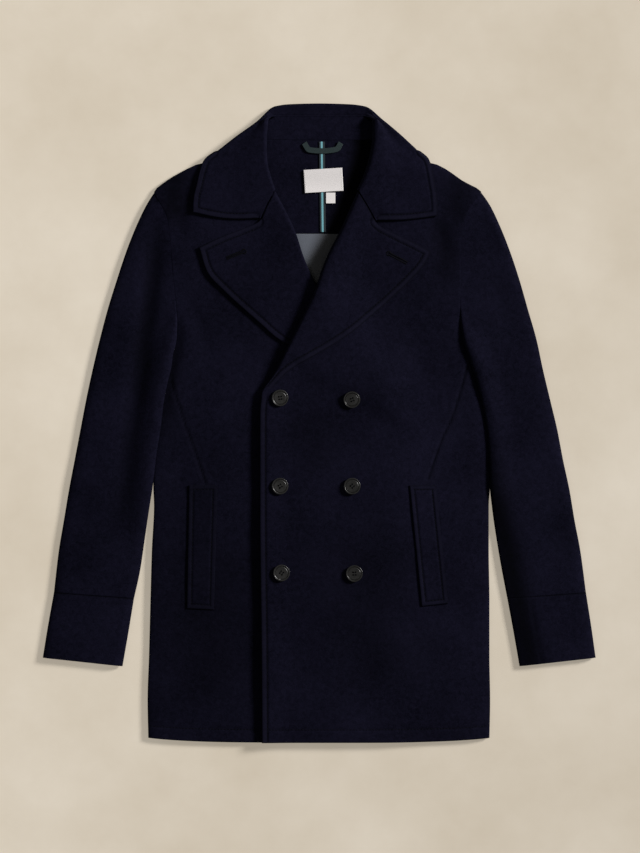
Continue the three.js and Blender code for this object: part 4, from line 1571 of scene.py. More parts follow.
@dataclass
class Lapel:
    """One lapel: rolled over its fold and laid back on its front.

    Args:
        side: Which lapel.
        upper: Upper edge from the fold along the gorge to the peak.
        outer_edge: Outer edge from the peak to the break.
        under: Underside of the front below it.
        front_wall: Thickness of that front.
        notch_share: Share of the upper edge that the gorge seam takes.
        slit: Plain end and eye of its buttonhole.
        folds: Soft folds in it.
    """

    side: Side
    upper: Route
    outer_edge: Route
    under: Height
    front_wall: float
    notch_share: float
    slit: Route
    folds: Sequence[Fold] = ()
    columns: int = 70
    rows: int = 92
    arc_steps: int = 12

    def radius_at(self, y: Array) -> Array:
        """Radius of the roll at each height.

        Args:
            y: Distance up the photo.

        Returns:
            The radius.
        """
        if self.side is Side.LEFT:
            return lerp(0.005, 0.0035, 1 - ease(y, 0.225, GORGE_Y - 0.020))
        return lerp(0.005, 0.0035, 1 - ease(y, 0.050, 0.120)) + 0.0025 * ease(y, 0.120, 0.240)

    def section(self, u: float, shares: Array | None) -> Grid:
        """One section from the roll to the outer edge.

        Args:
            u: Share of the way from the gorge to the break.
            shares: Shares across the leaf, or nothing for its length alone.

        Returns:
            The section's points.
        """
        inward = self.side.value
        fold, upper, edge = self.fold_line, self.upper_line, self.edge_line
        spot = fold(u)
        ahead = fold(min(1, u + 0.01)) - fold(max(0, u - 0.01))
        ahead /= np.linalg.norm(ahead)
        across = np.array([inward * abs(ahead[1]), inward * ahead[0] * np.sign(-ahead[1])])
        gorge = upper(0.04) - upper(0.0)
        gorge /= np.linalg.norm(gorge)
        across = lerp(across, gorge, float(1 - ease(u, 0, 0.12)))
        across /= np.linalg.norm(across)
        flat = float(ease(u, 0.84, 1.0))
        radius = lerp(float(self.radius_at(spot[1])), 0.0018, flat)
        low = float(self.under(np.array(spot[0] + inward * radius), np.array(spot[1])))
        turn = np.linspace(-np.pi / 2, np.pi / 2, self.arc_steps + 1)[:-1]
        rolled = np.zeros((len(turn), 3))
        rolled[:, :2] = spot + across * (radius * (1 - np.cos(turn)))[:, None]
        rolled[:, 2] = low + radius + radius * np.sin(turn)
        v = (np.linspace(0, 1, 40) if shares is None else shares)[:, None]
        laid = (spot + across * radius * (1 - v)) * (1 - v) + edge(u) * v
        laid = laid + upper(v[:, 0]) * (1 - u) + lerp(fold(1.0), edge(1.0), v) * u
        laid = laid - fold(0.0) * (1 - u) * (1 - v) - fold(1.0) * u * (1 - v)
        laid = laid - edge(0.0) * (1 - u) * v - edge(1.0) * u * v
        gap = np.linalg.norm(laid - spot, axis=1)
        stack = LAYER_GAP + LAPEL_WALL * (1 - 0.85 * flat) - 0.0007 * flat
        spare = 2 * radius - self.front_wall - stack
        loft = spare * (1 - ease(gap, radius, radius + 0.055))
        height = self.under(laid[:, 0], laid[:, 1]) + self.front_wall + stack + loft
        return np.concatenate([rolled, np.column_stack([laid, height])])

    def build(self) -> Piece:
        """Builds and dresses the lapel.

        Returns:
            The cloth.
        """
        name, inward = self.side.word, self.side.value
        column = 1 if self.side is Side.LEFT else 2
        fold_rows = [row for row in OPENING_ROWS if BREAK_Y <= row[0] <= GORGE_Y][::-1]
        self.fold_line = Line([(row[column], max(row[0], BREAK_Y + 0.004)) for row in fold_rows])
        self.upper_line, self.edge_line = Line(self.upper), Line(self.outer_edge)
        along = stations(0.26, self.rows, EDGE_LINES, RIM_LINES)
        sections = []
        for u in along:
            rough = self.section(float(u), None)[self.arc_steps :]
            length = float(np.linalg.norm(np.diff(rough, axis=0), axis=1).sum())
            sections.append(self.section(float(u), stations(length, self.columns, np.zeros(1), EDGE_LINES)))
        outer = np.array(sections)
        normal = outward(outer) * inward
        x, y = outer[..., 0], outer[..., 1]
        leaf = (np.arange(outer.shape[1]) >= self.arc_steps)[None, :]
        edge = self.edge_line(np.linspace(0, 1, 120))
        free = np.concatenate([self.upper_line(np.linspace(self.notch_share, 1, 40)), edge])
        all_round = np.concatenate([self.upper_line(np.linspace(0, 1, 60)), edge])
        from_free = np.where(leaf, distance_to(x, y, free), 1.0)
        from_any = np.where(leaf, distance_to(x, y, all_round), 1.0)
        rise = TOPSTITCHED.rise(from_free)
        for crease in self.folds:
            rise = rise + crease.height(x, y) * leaf
        rise = rise + unevenness(x, y, 0.00025, 21 + inward) * rounded(from_any, 0.02)
        inner = inside(outer, normal, LAPEL_WALL, from_any)
        shown = outer + normal * (rise - TOPSTITCHED.rim_drop(from_any))[..., None]
        # Painted shade along the edges, the seam and the buttonhole's slit.
        from_slit = np.where(leaf, distance_to(x, y, np.array(self.slit)), 1.0)
        painted_shade = np.maximum(TOPSTITCHED.crevices(from_free, from_any), 0.9 * bell(from_slit, 0.0016))
        piece = wall(f"lapel_{name}_cloth", shown, inner, TOPSTITCHED.ridge(from_free), painted_shade=painted_shade)
        ROOM.dress(piece, Slot.WOOL, f"lapel_{name}")
        ROOM.declare(piece, outer)
        return piece


@dataclass
class Collar:
    """The collar: leaf, wrap round the shoulders and fall under the back, in one cloth.

    Args:
        fold_radius: Radius of the fold on each side.
        sewn: Edges that are stitched, with the turn from each to its stitching.
        neck_low: Lowest height of the fold at the nape.
        step: Spacing of the lines along the collar.
        end_step: Their spacing at both ends.
        splits: Lines across, between one control point and the next.
        leaf: Control point at which the leaf starts, past the fold.
        seam_y: Y of the seam along the strip behind the neck.
    """

    fold_radius: dict = field(default_factory=lambda: {Side.LEFT: 0.005, Side.RIGHT: 0.0075})
    sewn: list = field(default_factory=list)
    neck_low: float = 0.0082
    step: float = 0.0022
    end_step: float = 0.0011
    splits: Sequence[int] = (4, 4, 4, 4, 5, 7, 8, 9, 10, 14, 2, 3, 3, 3, 3, 4, 4, 4)
    leaf: int = 4
    seam_y: float = 0.4305

    def section(self, row: dict) -> Grid:
        """Control points of one section, from the neck edge to the end of the cloth.

        Args:
            row: The section's row of the table.

        Returns:
            Its points.
        """
        left = row["ix"] < 0
        front_top, under = (LAY.left_top, LAY.front_under) if left else (LAY.right_top, LAY.right_under)
        strip = row["fold"] == 0 and row["turn"] == 1

        def rest_top(x: float, y: float) -> float:
            """Top of the collar where it lies.

            Args:
                x: Distance to the right.
                y: Distance up the photo.

            Returns:
                The height.
            """
            if strip:
                return STAND_TOP
            return float(front_top(np.array(x), np.array(y))) + LAYER_GAP + COLLAR_WALL

        neck, edge = np.array([row["ix"], row["iy"]]), np.array([row["ox"], row["oy"]])
        ahead = (edge - neck) / np.linalg.norm(edge - neck)
        radius = self.fold_radius[Side.LEFT if left else Side.RIGHT]
        low = float(under(np.array(neck[0]), np.array(neck[1])))
        low = max(low, self.neck_low if row["iy"] > 0.375 else 0.0)
        spare = 2 * radius - FRONT_WALL - COLLAR_WALL - LAYER_GAP
        from_fold = np.linalg.norm(neck - np.array([-0.061 if left else 0.053, 0.3255]))
        lift = 0.0 if strip else spare * (1 - float(ease(from_fold, 0, 0.055)))
        crest = low + 2 * radius if row["fold"] else rest_top(*neck) + lift
        bend = math.pi * row["turn"]
        edge_top = rest_top(*edge)
        bend_radius = edge_top / 2
        reach = bend_radius * math.sin(min(bend, math.pi / 2)) + (row["under"] if row["turn"] < 0.5 else 0)
        shoulder = edge - ahead * reach
        points = []
        for degrees in (-90, -45, 0, 45):
            angle = math.radians(degrees)
            if row["fold"]:
                spot = neck + ahead * radius * (1 - math.cos(angle))
                points.append((*spot, low + radius + radius * math.sin(angle)))
            else:
                spot = neck + ahead * (degrees + 90) / 180 * 0.0016
                points.append((*spot, rest_top(*spot) + lift))
        start = neck + ahead * (radius if row["fold"] else 0.0018)
        beside = np.array([-ahead[1], ahead[0]])
        for share in (0, 0.15, 0.32, 0.5, 0.68, 0.85, 1):
            spot = lerp(start, shoulder, share) + beside * row["bow"] * math.sin(math.pi * share)
            loft = (crest - rest_top(*neck)) * (1 - float(ease(share, 0, 0.6)))
            points.append((*spot, rest_top(*spot) + loft))
        for share in (0.2, 0.4, 0.6, 0.8, 1):
            angle = bend * share
            if row["turn"] > 0.05:
                spot = shoulder + ahead * bend_radius * math.sin(angle)
                points.append((*spot, edge_top - bend_radius * (1 - math.cos(angle))))
            else:
                spot = shoulder + ahead * row["under"] / 2 * share
                points.append((*spot, edge_top))
        last = np.array(points[-1])
        for share in (0.35, 0.7, 1):
            spot = last.copy()
            if row["turn"] == 1:
                spot[1] -= row["under"] * share
            else:
                rest = row["under"] if row["turn"] > 0.05 else row["under"] / 2
                spot[:2] += ahead * rest * math.cos(bend) * share
                spot[2] -= rest * math.sin(bend) * share
            points.append(spot)
        return np.array(points, float)

    def lines(self, control: Grid) -> Pair:
        """Where the mesh has its lines, counted in sections and in control points.

        Args:
            control: Control points, a row for each section.

        Returns:
            The lines' places along the collar and across it.
        """
        reach = np.linalg.norm(np.diff(control, axis=0), axis=2).max(axis=1)
        rows, columns = [0.0], [0.0]
        for index, length in enumerate(reach):
            step = self.end_step if index in (0, 1, len(reach) - 2, len(reach) - 1) else self.step
            count = max(2, math.ceil(length / step))
            rows.extend(index + (k + 1) / count for k in range(count))
        for index, count in enumerate(self.splits):
            columns.extend(index + (k + 1) / count for k in range(count))
        return np.array(rows), np.array(columns)

    def borders(self, outer: Grid, rows: Array, columns: Array) -> Pair:
        """Distances of the leaf's points from its edges, noting on the way which edges are sewn.

        Args:
            outer: Points of the shown face.
            rows: Their places along the collar.
            columns: Their places across it.

        Returns:
            Distances from the stitched edges and from any edge.
        """
        x, y = outer[..., 0], outer[..., 1]
        leaf = (columns >= self.leaf)[None, :]
        last = len(COLLAR_ROWS) - 1
        from_free, from_any = np.full(x.shape, 1.0), np.full(x.shape, 1.0)
        for side, tip, from_tip in ((Side.LEFT, 0, rows), (Side.RIGHT, -1, last - rows)):
            side_edge = outer[from_tip <= 6.6][:, -1, :2]
            lower = outer[tip, :, :2]
            neckward = float(outer[tip, int(np.searchsorted(columns, self.leaf)), 0])
            stitched = lower[np.abs(lower[:, 0] - neckward) > 0.004]
            onward = side_edge if side is Side.LEFT else side_edge[::-1]
            self.sewn += [(thinned(line, 0.004), side.value) for line in (stitched, side_edge)]
            from_stitched = distance_to(x, y, np.concatenate([stitched, onward]))
            from_whole = distance_to(x, y, np.concatenate([lower, onward]))
            from_free = np.where((from_tip <= 9)[:, None] & leaf, from_stitched, from_free)
            from_any = np.where((from_tip <= 6.6)[:, None] & leaf, from_whole, from_any)
        return from_free, from_any

    def build(self) -> Piece:
        """Builds and dresses the collar.

        Returns:
            The cloth.
        """
        control = np.array([self.section(dict(zip(COLLAR_COLUMNS, row))) for row in COLLAR_ROWS])
        rows, columns = self.lines(control)
        fine = Rail(np.arange(len(control)), control)(rows)
        outer = np.moveaxis(Rail(np.arange(control.shape[1]), np.moveaxis(fine, 1, 0))(columns), 0, 1)
        normal = outward(outer)
        x, y, z = np.moveaxis(outer, 2, 0)
        from_free, from_any = self.borders(outer, rows, columns)
        fade = 1 - ease(-np.abs(rows - (len(control) - 1) / 2), -5.6, -4.4)[:, None]
        rise = TOPSTITCHED.rise(from_free) * fade
        rise = rise + unevenness(x, y, 0.00025, 31) * rounded(from_any, 0.02) * ease(z, 0.008, 0.011)
        inner = inside(outer, normal, COLLAR_WALL, from_any)
        shown = outer + normal * (rise - TOPSTITCHED.rim_drop(from_any) * fade)[..., None]
        on_strip = (columns >= self.leaf)[None, :] & (z > 0.0065) & (np.abs(x) < 0.066)
        seam = bell(y - self.seam_y, 0.0010) * on_strip
        shown[..., 2] -= 0.0003 * seam
        for face in (shown, inner):
            face[..., 2] = np.maximum(face[..., 2], 0.0)
        # Painted shade along the stitched edges and along the seam on the strip.
        painted_shade = np.maximum(TOPSTITCHED.crevices(from_free, from_any) * fade, 0.15 * seam)
        piece = wall("collar_cloth", shown, inner, TOPSTITCHED.ridge(from_free) * fade, painted_shade=painted_shade)
        ROOM.dress(piece, Slot.WOOL, "collar")
        ROOM.declare(piece, outer)
        return piece


@dataclass
class Sleeve:
    """A sleeve or cuff: a flattened tube with its folds at both sides.

    Args:
        side: Which side.
        cuff: Whether this is the cuff.
        folds: Soft folds in its top.
        seam: A seam's line on its top.
        shades: Patches of painted shade, darkened into the cloth's colour.
    """

    side: Side
    cuff: bool
    folds: Sequence[Fold] = ()
    seam: Route = ()
    shades: Sequence[Fold] = ()
    around: int = 44
    step: float = 0.0055

    def ring(self, row: dict, inset: float, shares: Array) -> tuple[Grid, Grid]:
        """One ring of the tube.

        Args:
            row: The section's row of the table.
            inset: How far inside the cloth's outer face.
            shares: Shares across from the outer to the inner fold.

        Returns:
            The top points and the bottom points, both from the outer fold.
        """
        outer_spot = np.array([row["ox"], row["oy"]])
        inner_spot = np.array([row["ix"], row["iy"]])
        across = inner_spot - outer_spot
        width = float(np.linalg.norm(across))
        height = lerp(0.0095, 0.009, row["hole"])
        turned = float(ease(-row["oy"], 0.060, 0.160)) if self.side is Side.RIGHT else 0.0
        inner_round = lerp(0.014, 0.030, turned)
        half = height / 2 - inset
        t = lerp(inset / width, 1 - inset / width, shares)
        spots = outer_spot + across * t[:, None]
        seam_x = BODY_RAIL[self.side.word](spots[:, 1]) - self.side.value * 0.0008
        reach = lerp(0.55, 0.02, float(ease(row["hole"], 0.75, 1.0)))
        spots[:, 0] += (seam_x - spots[:, 0]) * row["hole"] * ease(t, -0.01, reach)
        from_inner = (1 - t) * width - inset
        full = rounded(t * width - inset, 0.014 - inset) * rounded(from_inner, inner_round - inset)
        lift = row["lift"] * (1 - ease(from_inner, 0.008, 0.042))
        top = np.column_stack([spots, height / 2 + half * full + lift * 0.75])
        bottom = np.column_stack([spots, height / 2 - half * full + lift])
        return top, bottom

    def form(self, top: Grid, along: Array) -> Grid:
        """Presses the folds and seams into the top.

        Args:
            top: Points of the top.
            along: Distance of each row from the cuff seam.

        Returns:
            The formed top.
        """
        x, y = top[..., 0], top[..., 1]
        rise = sum((fold.height(x, y) for fold in self.folds), np.zeros_like(x))
        rise = rise + unevenness(x, y, 0.0004, 41 + self.side.value)
        if self.seam:
            near = distance_to(x, y, Line(self.seam)(np.linspace(0, 1, 40)))
            rise = rise + 0.0004 * bell(near, 0.006) - 0.0011 * bell(near, 0.0015)
        seam_round = 0.0012 * (1 - rounded(along, 0.0022))[:, None]
        stitch = 0.0002 * bell(along - CUFF_STITCH, 0.0013)[:, None] if self.cuff else 0.0
        from_fold = np.minimum(np.arange(x.shape[1]), x.shape[1] - 1 - np.arange(x.shape[1])) / x.shape[1]
        calm = ease(from_fold, 0.0, 0.14)[None, :]
        top = top.copy()
        top[..., 2] += (rise - seam_round - stitch) * calm
        return top

    def build(self) -> Piece:
        """Builds and dresses the tube.

        Returns:
            The cloth.
        """
        word = self.side.word
        kind = "cuff" if self.cuff else "sleeve"
        table = CUFF_ROWS if self.cuff else SLEEVE_ROWS
        index = {name: SLEEVE_COLUMNS.index(name) for name in SLEEVE_COLUMNS}
        names = f"ox_{word}", "oy", f"ix_{word}", "iy", "lift", "hole"
        keep = [index[name] for name in names]
        values = np.array(table)[:, keep]
        run = np.concatenate([[0], np.cumsum(np.linalg.norm(np.diff(values[:, :2], axis=0), axis=1))])
        length = float(run[-1])
        start, end = (CUFF_SEAM_LINES, RIM_LINES) if self.cuff else (RIM_LINES, CUFF_SEAM_LINES)
        where = length * stations(length, int(length / self.step), start, end)
        rows = Rail(run, values)(where)
        shares = 0.5 - 0.5 * np.cos(np.pi * np.linspace(0, 1, self.around + 1))
        tops, bottoms, inner_tops, inner_bottoms = [], [], [], []
        for row in rows:
            named = dict(zip(("ox", "oy", "ix", "iy", "lift", "hole"), row))
            top, bottom = self.ring(named, 0.0, shares)
            inner_top, inner_bottom = self.ring(named, SLEEVE_WALL, shares)
            tops.append(top)
            bottoms.append(bottom[1:-1][::-1])
            inner_tops.append(inner_top)
            inner_bottoms.append(inner_bottom[1:-1][::-1])
        from_seam = where if self.cuff else length - where
        formed = self.form(np.array(tops), from_seam)
        outer = np.concatenate([formed, np.array(bottoms)], axis=1)
        inner_top = np.array(inner_tops)
        inner_top[..., 2] = np.minimum(inner_top[..., 2], formed[..., 2] - 0.0008)
        inner = np.concatenate([inner_top, np.array(inner_bottoms)], axis=1)
        x, y = outer[..., 0], outer[..., 1]
        # Painted shade along the seams and the cuff's stitching, in the troughs of the folds and in the shade
        # patches.
        painted_shade = 0.6 * bell(from_seam, SEAM_LINE)[:, None] + np.zeros_like(x)
        if self.cuff:
            painted_shade = np.maximum(painted_shade, 0.12 * bell(from_seam - CUFF_STITCH, GROOVE_LINE)[:, None])
        for fold in self.folds:
            painted_shade = np.maximum(painted_shade, np.maximum(-fold.height(x, y), 0) / 0.0056 * 0.55)
        for patch in self.shades:
            painted_shade = np.maximum(painted_shade, patch.height(x, y))
        if self.seam:
            near = distance_to(x, y, Line(self.seam)(np.linspace(0, 1, 40)))
            painted_shade = np.maximum(painted_shade, 0.6 * bell(near, SEAM_LINE))
        piece = wall(f"{kind}_{word}_cloth", outer, inner, ring=True, painted_shade=painted_shade)
        ROOM.dress(piece, Slot.WOOL, f"{kind}_{word}")
        ROOM.declare(piece, outer, ring=True)
        return piece


@dataclass
class Welt:
    """The welt of a side pocket, padded and stitched all round.

    Args:
        side: Which side.
        corners: Top outer, top inner, bottom inner and bottom outer corners.
        front_top: Top of the front that it lies on.
    """

    side: Side
    corners: Route
    front_top: Height
    form: EdgeForm = WELT_EDGE

    def build(self) -> Piece:
        """Builds and dresses the welt.

        Returns:
            The cloth.
        """
        top_outer, top_inner, low_inner, low_outer = (np.array(c) for c in self.corners)
        across = stations(0.038, 10, WELT_LINES, WELT_LINES)[None, :, None]
        along = stations(0.172, 60, WELT_LINES, WELT_LINES)[:, None, None]
        flat = lerp(lerp(low_outer, low_inner, across), lerp(top_outer, top_inner, across), along)
        x, y = flat[..., 0], flat[..., 1]
        ring = np.array([*self.corners, self.corners[0]])
        distance = distance_to(x, y, ring)
        base = self.front_top(x, y) + SEAM_GAP + WELT_WALL
        inner = np.stack([x, y, base - WELT_WALL - 0.0006 + 0.0004 * (1 - rounded(distance, 0.0009))], axis=2)
        outer = np.stack([x, y, base + self.form.rise(distance) - self.form.rim_drop(distance)], axis=2)
        # Painted shade along the edges and stitching, and over the whole left welt.
        painted_shade = np.maximum(0.7 * self.form.painted_shade(distance), 0.25 if self.side is Side.LEFT else 0.0)
        piece = wall(f"welt_{self.side.word}_cloth", outer, inner, self.form.ridge(distance), painted_shade=painted_shade)
        ROOM.dress(piece, Slot.WOOL, f"welt_{self.side.word}")
        ROOM.declare(piece, outer)
        return piece


@dataclass
class SmallPanel:
    """A plain small panel laid on the coat: facing, lining, tape, label, stand or loop.

    Args:
        node: The node that it replaces.
        slot: Its material slot.
        place: Gives x and y from shares across and along.
        top: Height of its top.
        thickness: The cloth's thickness.
        columns: Lines across.
        rows: Lines along.
        sheet: Whether it is wide enough to be a sheet.
        painted_shade: How shaded it is at each point.
    """

    node: str
    slot: Slot
    place: Place
    top: Height
    thickness: float
    columns: int
    rows: int
    sheet: bool = True
    painted_shade: Height | None = None

    def build(self) -> Piece:
        """Builds and dresses the panel.

        Returns:
            The cloth.
        """
        rim = min(0.0004, self.thickness * 0.35)
        ends = np.array([0, rim * 0.3, rim, rim * 2.5])
        across = stations(0.05, self.columns, ends, ends)
        along = stations(0.06, self.rows, ends, ends)
        outer = laid_grid(self.place, along, across, self.top)
        from_side = np.minimum(across, 1 - across)[None, :] * 0.05
        from_end = np.minimum(along, 1 - along)[:, None] * 0.06
        distance = np.minimum(from_side, from_end)
        inner = outer.copy()
        inner[..., 2] -= self.thickness
        shade = self.painted_shade(outer[..., 0], outer[..., 1]) if self.painted_shade else None
        outer[..., 2] -= rim * (1 - rounded(distance, rim))
        piece = wall(f"{self.node}_cloth", outer, inner, painted_shade=shade)
        ROOM.dress(piece, self.slot, self.node)
        if self.sheet:
            ROOM.declare(piece, outer)
        return piece


def facing_place(u: Array, v: Array) -> Pair:
    """x and y of a point of the back neck facing.

    Args:
        u: Share of the width.
        v: Share of the length.

    Returns:
        x and y.
    """
    y = lerp(0.265, NAPE_Y, v)
    tuck = lerp(0.009, 0.003, ease(y, 0.350, 0.390))
    x = lerp(OPENING_RAIL["left"](y) - tuck, OPENING_RAIL["right"](y) + tuck, u)
    return x, y + (nape_y(x) - NAPE_Y) * ease(v, 0.6, 1)


def stand_place(u: Array, v: Array) -> Pair:
    """x and y of a point of the collar stand.

    Args:
        u: Share of the width.
        v: Share of the length.

    Returns:
        x and y.
    """
    x = lerp(-0.0745, 0.0765, u)
    corner = 0.006 * ease(np.abs(x), 0.060, 0.075)
    return x, lerp(nape_y(x) + SEAM_GAP, 0.428 - SEAM_GAP - corner, v)


def lining_place(u: Array, v: Array) -> Pair:
    """x and y of a point of the lining."""
    return lerp(-0.052, 0.052, u), lerp(0.196, 0.2646, v) + 0 * u


def tape_place(u: Array, v: Array) -> Pair:
    """x and y of a point of the centre tape."""
    return 0.0045 + 0.0015 * (0.5 - v) + (u - 0.5) * 0.008, lerp(0.267, 0.393, v) + 0 * u


def label_place(x: float, y: float, width: float, height: float, turn: float) -> Place:
    """The place function of a label.

    Args:
        x: X of its middle.
        y: Y of its middle.
        width: Its width.
        height: Its height.
        turn: Its turn in radians.

    Returns:
        A function from shares to x and y.
    """

    def place(u: Array, v: Array) -> Pair:
        """x and y of a point of the label."""
        across, up = (u - 0.5) * width, (v - 0.5) * height
        cosine, sine = math.cos(turn), math.sin(turn)
        return x + across * cosine - up * sine, y + across * sine + up * cosine

    return place


def roll_painted_shadow(x: Array, y: Array) -> Array:
    """Painted shadow of the right roll on the inside, and painted shade over the lining's lower end."""
    roll = 0.9 * (1 - ease(OPENING_RAIL["right"](y) - x, 0.010, 0.040))
    return np.maximum(roll, 0.95 * (1 - ease(y, 0.203, 0.224)))


LOOP_ROUTE = Line(
    [(-0.0209, 0.3911), (-0.0136, 0.3815), (0.0045, 0.3800), (0.0245, 0.3825), (0.0304, 0.3911)]
)


def loop_place(u: Array, v: Array) -> Pair:
    """x and y of a point of the hanger loop.

    Args:
        u: Share of the width.
        v: Share of the length.

    Returns:
        x and y.
    """
    middle = LOOP_ROUTE(v)
    ahead = LOOP_ROUTE(np.minimum(v + 0.02, 1)) - LOOP_ROUTE(np.maximum(v - 0.02, 0))
    ahead = ahead / np.linalg.norm(ahead, axis=-1, keepdims=True)
    off = (u - 0.5) * 0.0075
    return middle[..., 0] - ahead[..., 1] * off, middle[..., 1] + ahead[..., 0] * off


@dataclass
class Buttons:
    """Six four-hole horn buttons and the thread that holds them.

    Args:
        radius: Radius of a button.
        height: Its height.
        hole_radius: Radius of a hole.
        hole_spacing: Distance of the holes from the middle.
        dish: Steps inward from the rim: width, then rise.
        thread_share: Share of the height at which the thread crosses.
        places: x, y and turn of each button by its node.
    """

    radius: float = 0.0115
    height: float = 0.004
    hole_radius: float = 0.00115
    hole_spacing: float = 0.0026
    dish: Route = (
        (0.0016, 0.0), (0.0003, -0.0011), (0.0007, 0.0), (0.0004, 0.0007), (0.0010, 0.0), (0.0014, -0.0002),
    )
    thread_share: float = 0.87
    places: dict = field(
        default_factory=lambda: {
            "button_left_top": (-0.055, 0.035, 0.15),
            "button_left_middle": (-0.055, -0.088, 0.55),
            "button_left_bottom": (-0.053, -0.209, 0.95),
            "button_right_top": (0.046, 0.033, 0.35),
            "button_right_middle": (0.046, -0.088, 0.75),
            "button_right_bottom": (0.049, -0.210, 0.05),
        }
    )

    def pick(self, mesh: Piece, test: Callable[[bpy.types.MeshPolygon], bool]) -> None:
        """Selects the faces that pass a test, in edit mode.

        Args:
            mesh: The button's mesh.
            test: Says whether a face is taken.
        """
        bpy.ops.mesh.select_mode(type="FACE")
        bpy.ops.mesh.select_all(action="DESELECT")
        bpy.ops.object.mode_set(mode="OBJECT")
        for polygon in mesh.data.polygons:
            polygon.select = test(polygon)
        bpy.ops.object.mode_set(mode="EDIT")

    def model(self) -> Piece:
        """Models one button at the origin, its flat back down.

        Returns:
            The button.
        """
        bpy.ops.object.select_all(action="DESELECT")
        bpy.ops.mesh.primitive_cylinder_add(
            vertices=64, radius=self.radius, depth=self.height, location=(0, 0, self.height / 2)
        )
        button = bpy.context.object
        bpy.ops.object.mode_set(mode="EDIT")
        self.pick(button, lambda p: p.normal.z > 0.9)
        for inset, rise in self.dish:
            bpy.ops.mesh.inset(thickness=inset, depth=0)
            bpy.ops.transform.translate(value=(0, 0, rise))
        bpy.ops.object.mode_set(mode="OBJECT")
        bevel = button.modifiers.new("rim", "BEVEL")
        bevel.width, bevel.segments, bevel.angle_limit = 0.0006, 3, math.radians(50)
        bpy.ops.object.modifier_apply(modifier=bevel.name)
        for k in range(4):
            turn = math.pi / 4 + k * math.pi / 2
            spot = (self.hole_spacing * math.cos(turn), self.hole_spacing * math.sin(turn), self.height / 2)
            bpy.ops.mesh.primitive_cylinder_add(
                vertices=20, radius=self.hole_radius, depth=0.012, location=spot
            )
            drill = bpy.context.object
            bpy.ops.object.select_all(action="DESELECT")
            button.select_set(True)
            bpy.context.view_layer.objects.active = button
            hole = button.modifiers.new("hole", "BOOLEAN")
            hole.operation, hole.object, hole.solver = "DIFFERENCE", drill, "EXACT"
            bpy.ops.object.modifier_apply(modifier=hole.name)
            bpy.data.objects.remove(drill)
        bpy.ops.object.shade_smooth_by_angle(angle=math.radians(38))
        button.data.transform(button.matrix_world)
        button.matrix_world = Matrix.Identity(4)
        return button

    def seat(self, x: float, y: float) -> tuple[Vector, Vector]:
        """Where a button lies on the right front.

        Args:
            x: X of its middle.
            y: Y of its middle.

        Returns:
            The middle of its back and its normal.
        """

        def top(px: float, py: float) -> float:
            """Top of the right front."""
            return float(LAY.right_top(np.array(px), np.array(py)))

        step = self.radius
        slope_x = (top(x + step, y) - top(x - step, y)) / (2 * step)
        slope_y = (top(x, y + step) - top(x, y - step)) / (2 * step)
        normal = Vector((-slope_x, -slope_y, 1)).normalized()
        rises = [0.0]
        for k in range(13):
            dx, dy = step * math.cos(2 * math.pi * k / 12), step * math.sin(2 * math.pi * k / 12)
            rises.append(top(x + dx, y + dy) - (top(x, y) + slope_x * dx + slope_y * dy))
        return Vector((x, y, top(x, y))) + normal * (0.0005 + max(rises)), normal

    def build(self) -> None:
        """Builds, places and dresses the buttons and their thread."""
        model = self.model()
        thread = Stitches("button_thread", radius=0.00026)
        for name, (x, y, turn) in self.places.items():
            spot, normal = self.seat(x, y)
            lean = Vector((0, 0, 1)).rotation_difference(normal).to_matrix().to_4x4()
            where = Matrix.Translation(spot) @ lean @ Matrix.Rotation(turn, 4, "Z")
            piece = bpy.data.objects.new(f"{name}_horn", model.data.copy())
            bpy.context.scene.collection.objects.link(piece)
            piece.data.transform(where)
            ROOM.dress(piece, Slot.HORN, name)
            for pair in (1, -1):
                for strand in (-0.00025, 0.00025):
                    reach = self.hole_spacing * math.cos(math.pi / 4)
                    start = where @ Vector((-reach, pair * reach + strand, self.height * self.thread_share))
                    end = where @ Vector((reach, pair * reach + strand, self.height * self.thread_share))
                    thread.stitch(start, end, normal)
        bpy.data.objects.remove(model)
        thread.make()


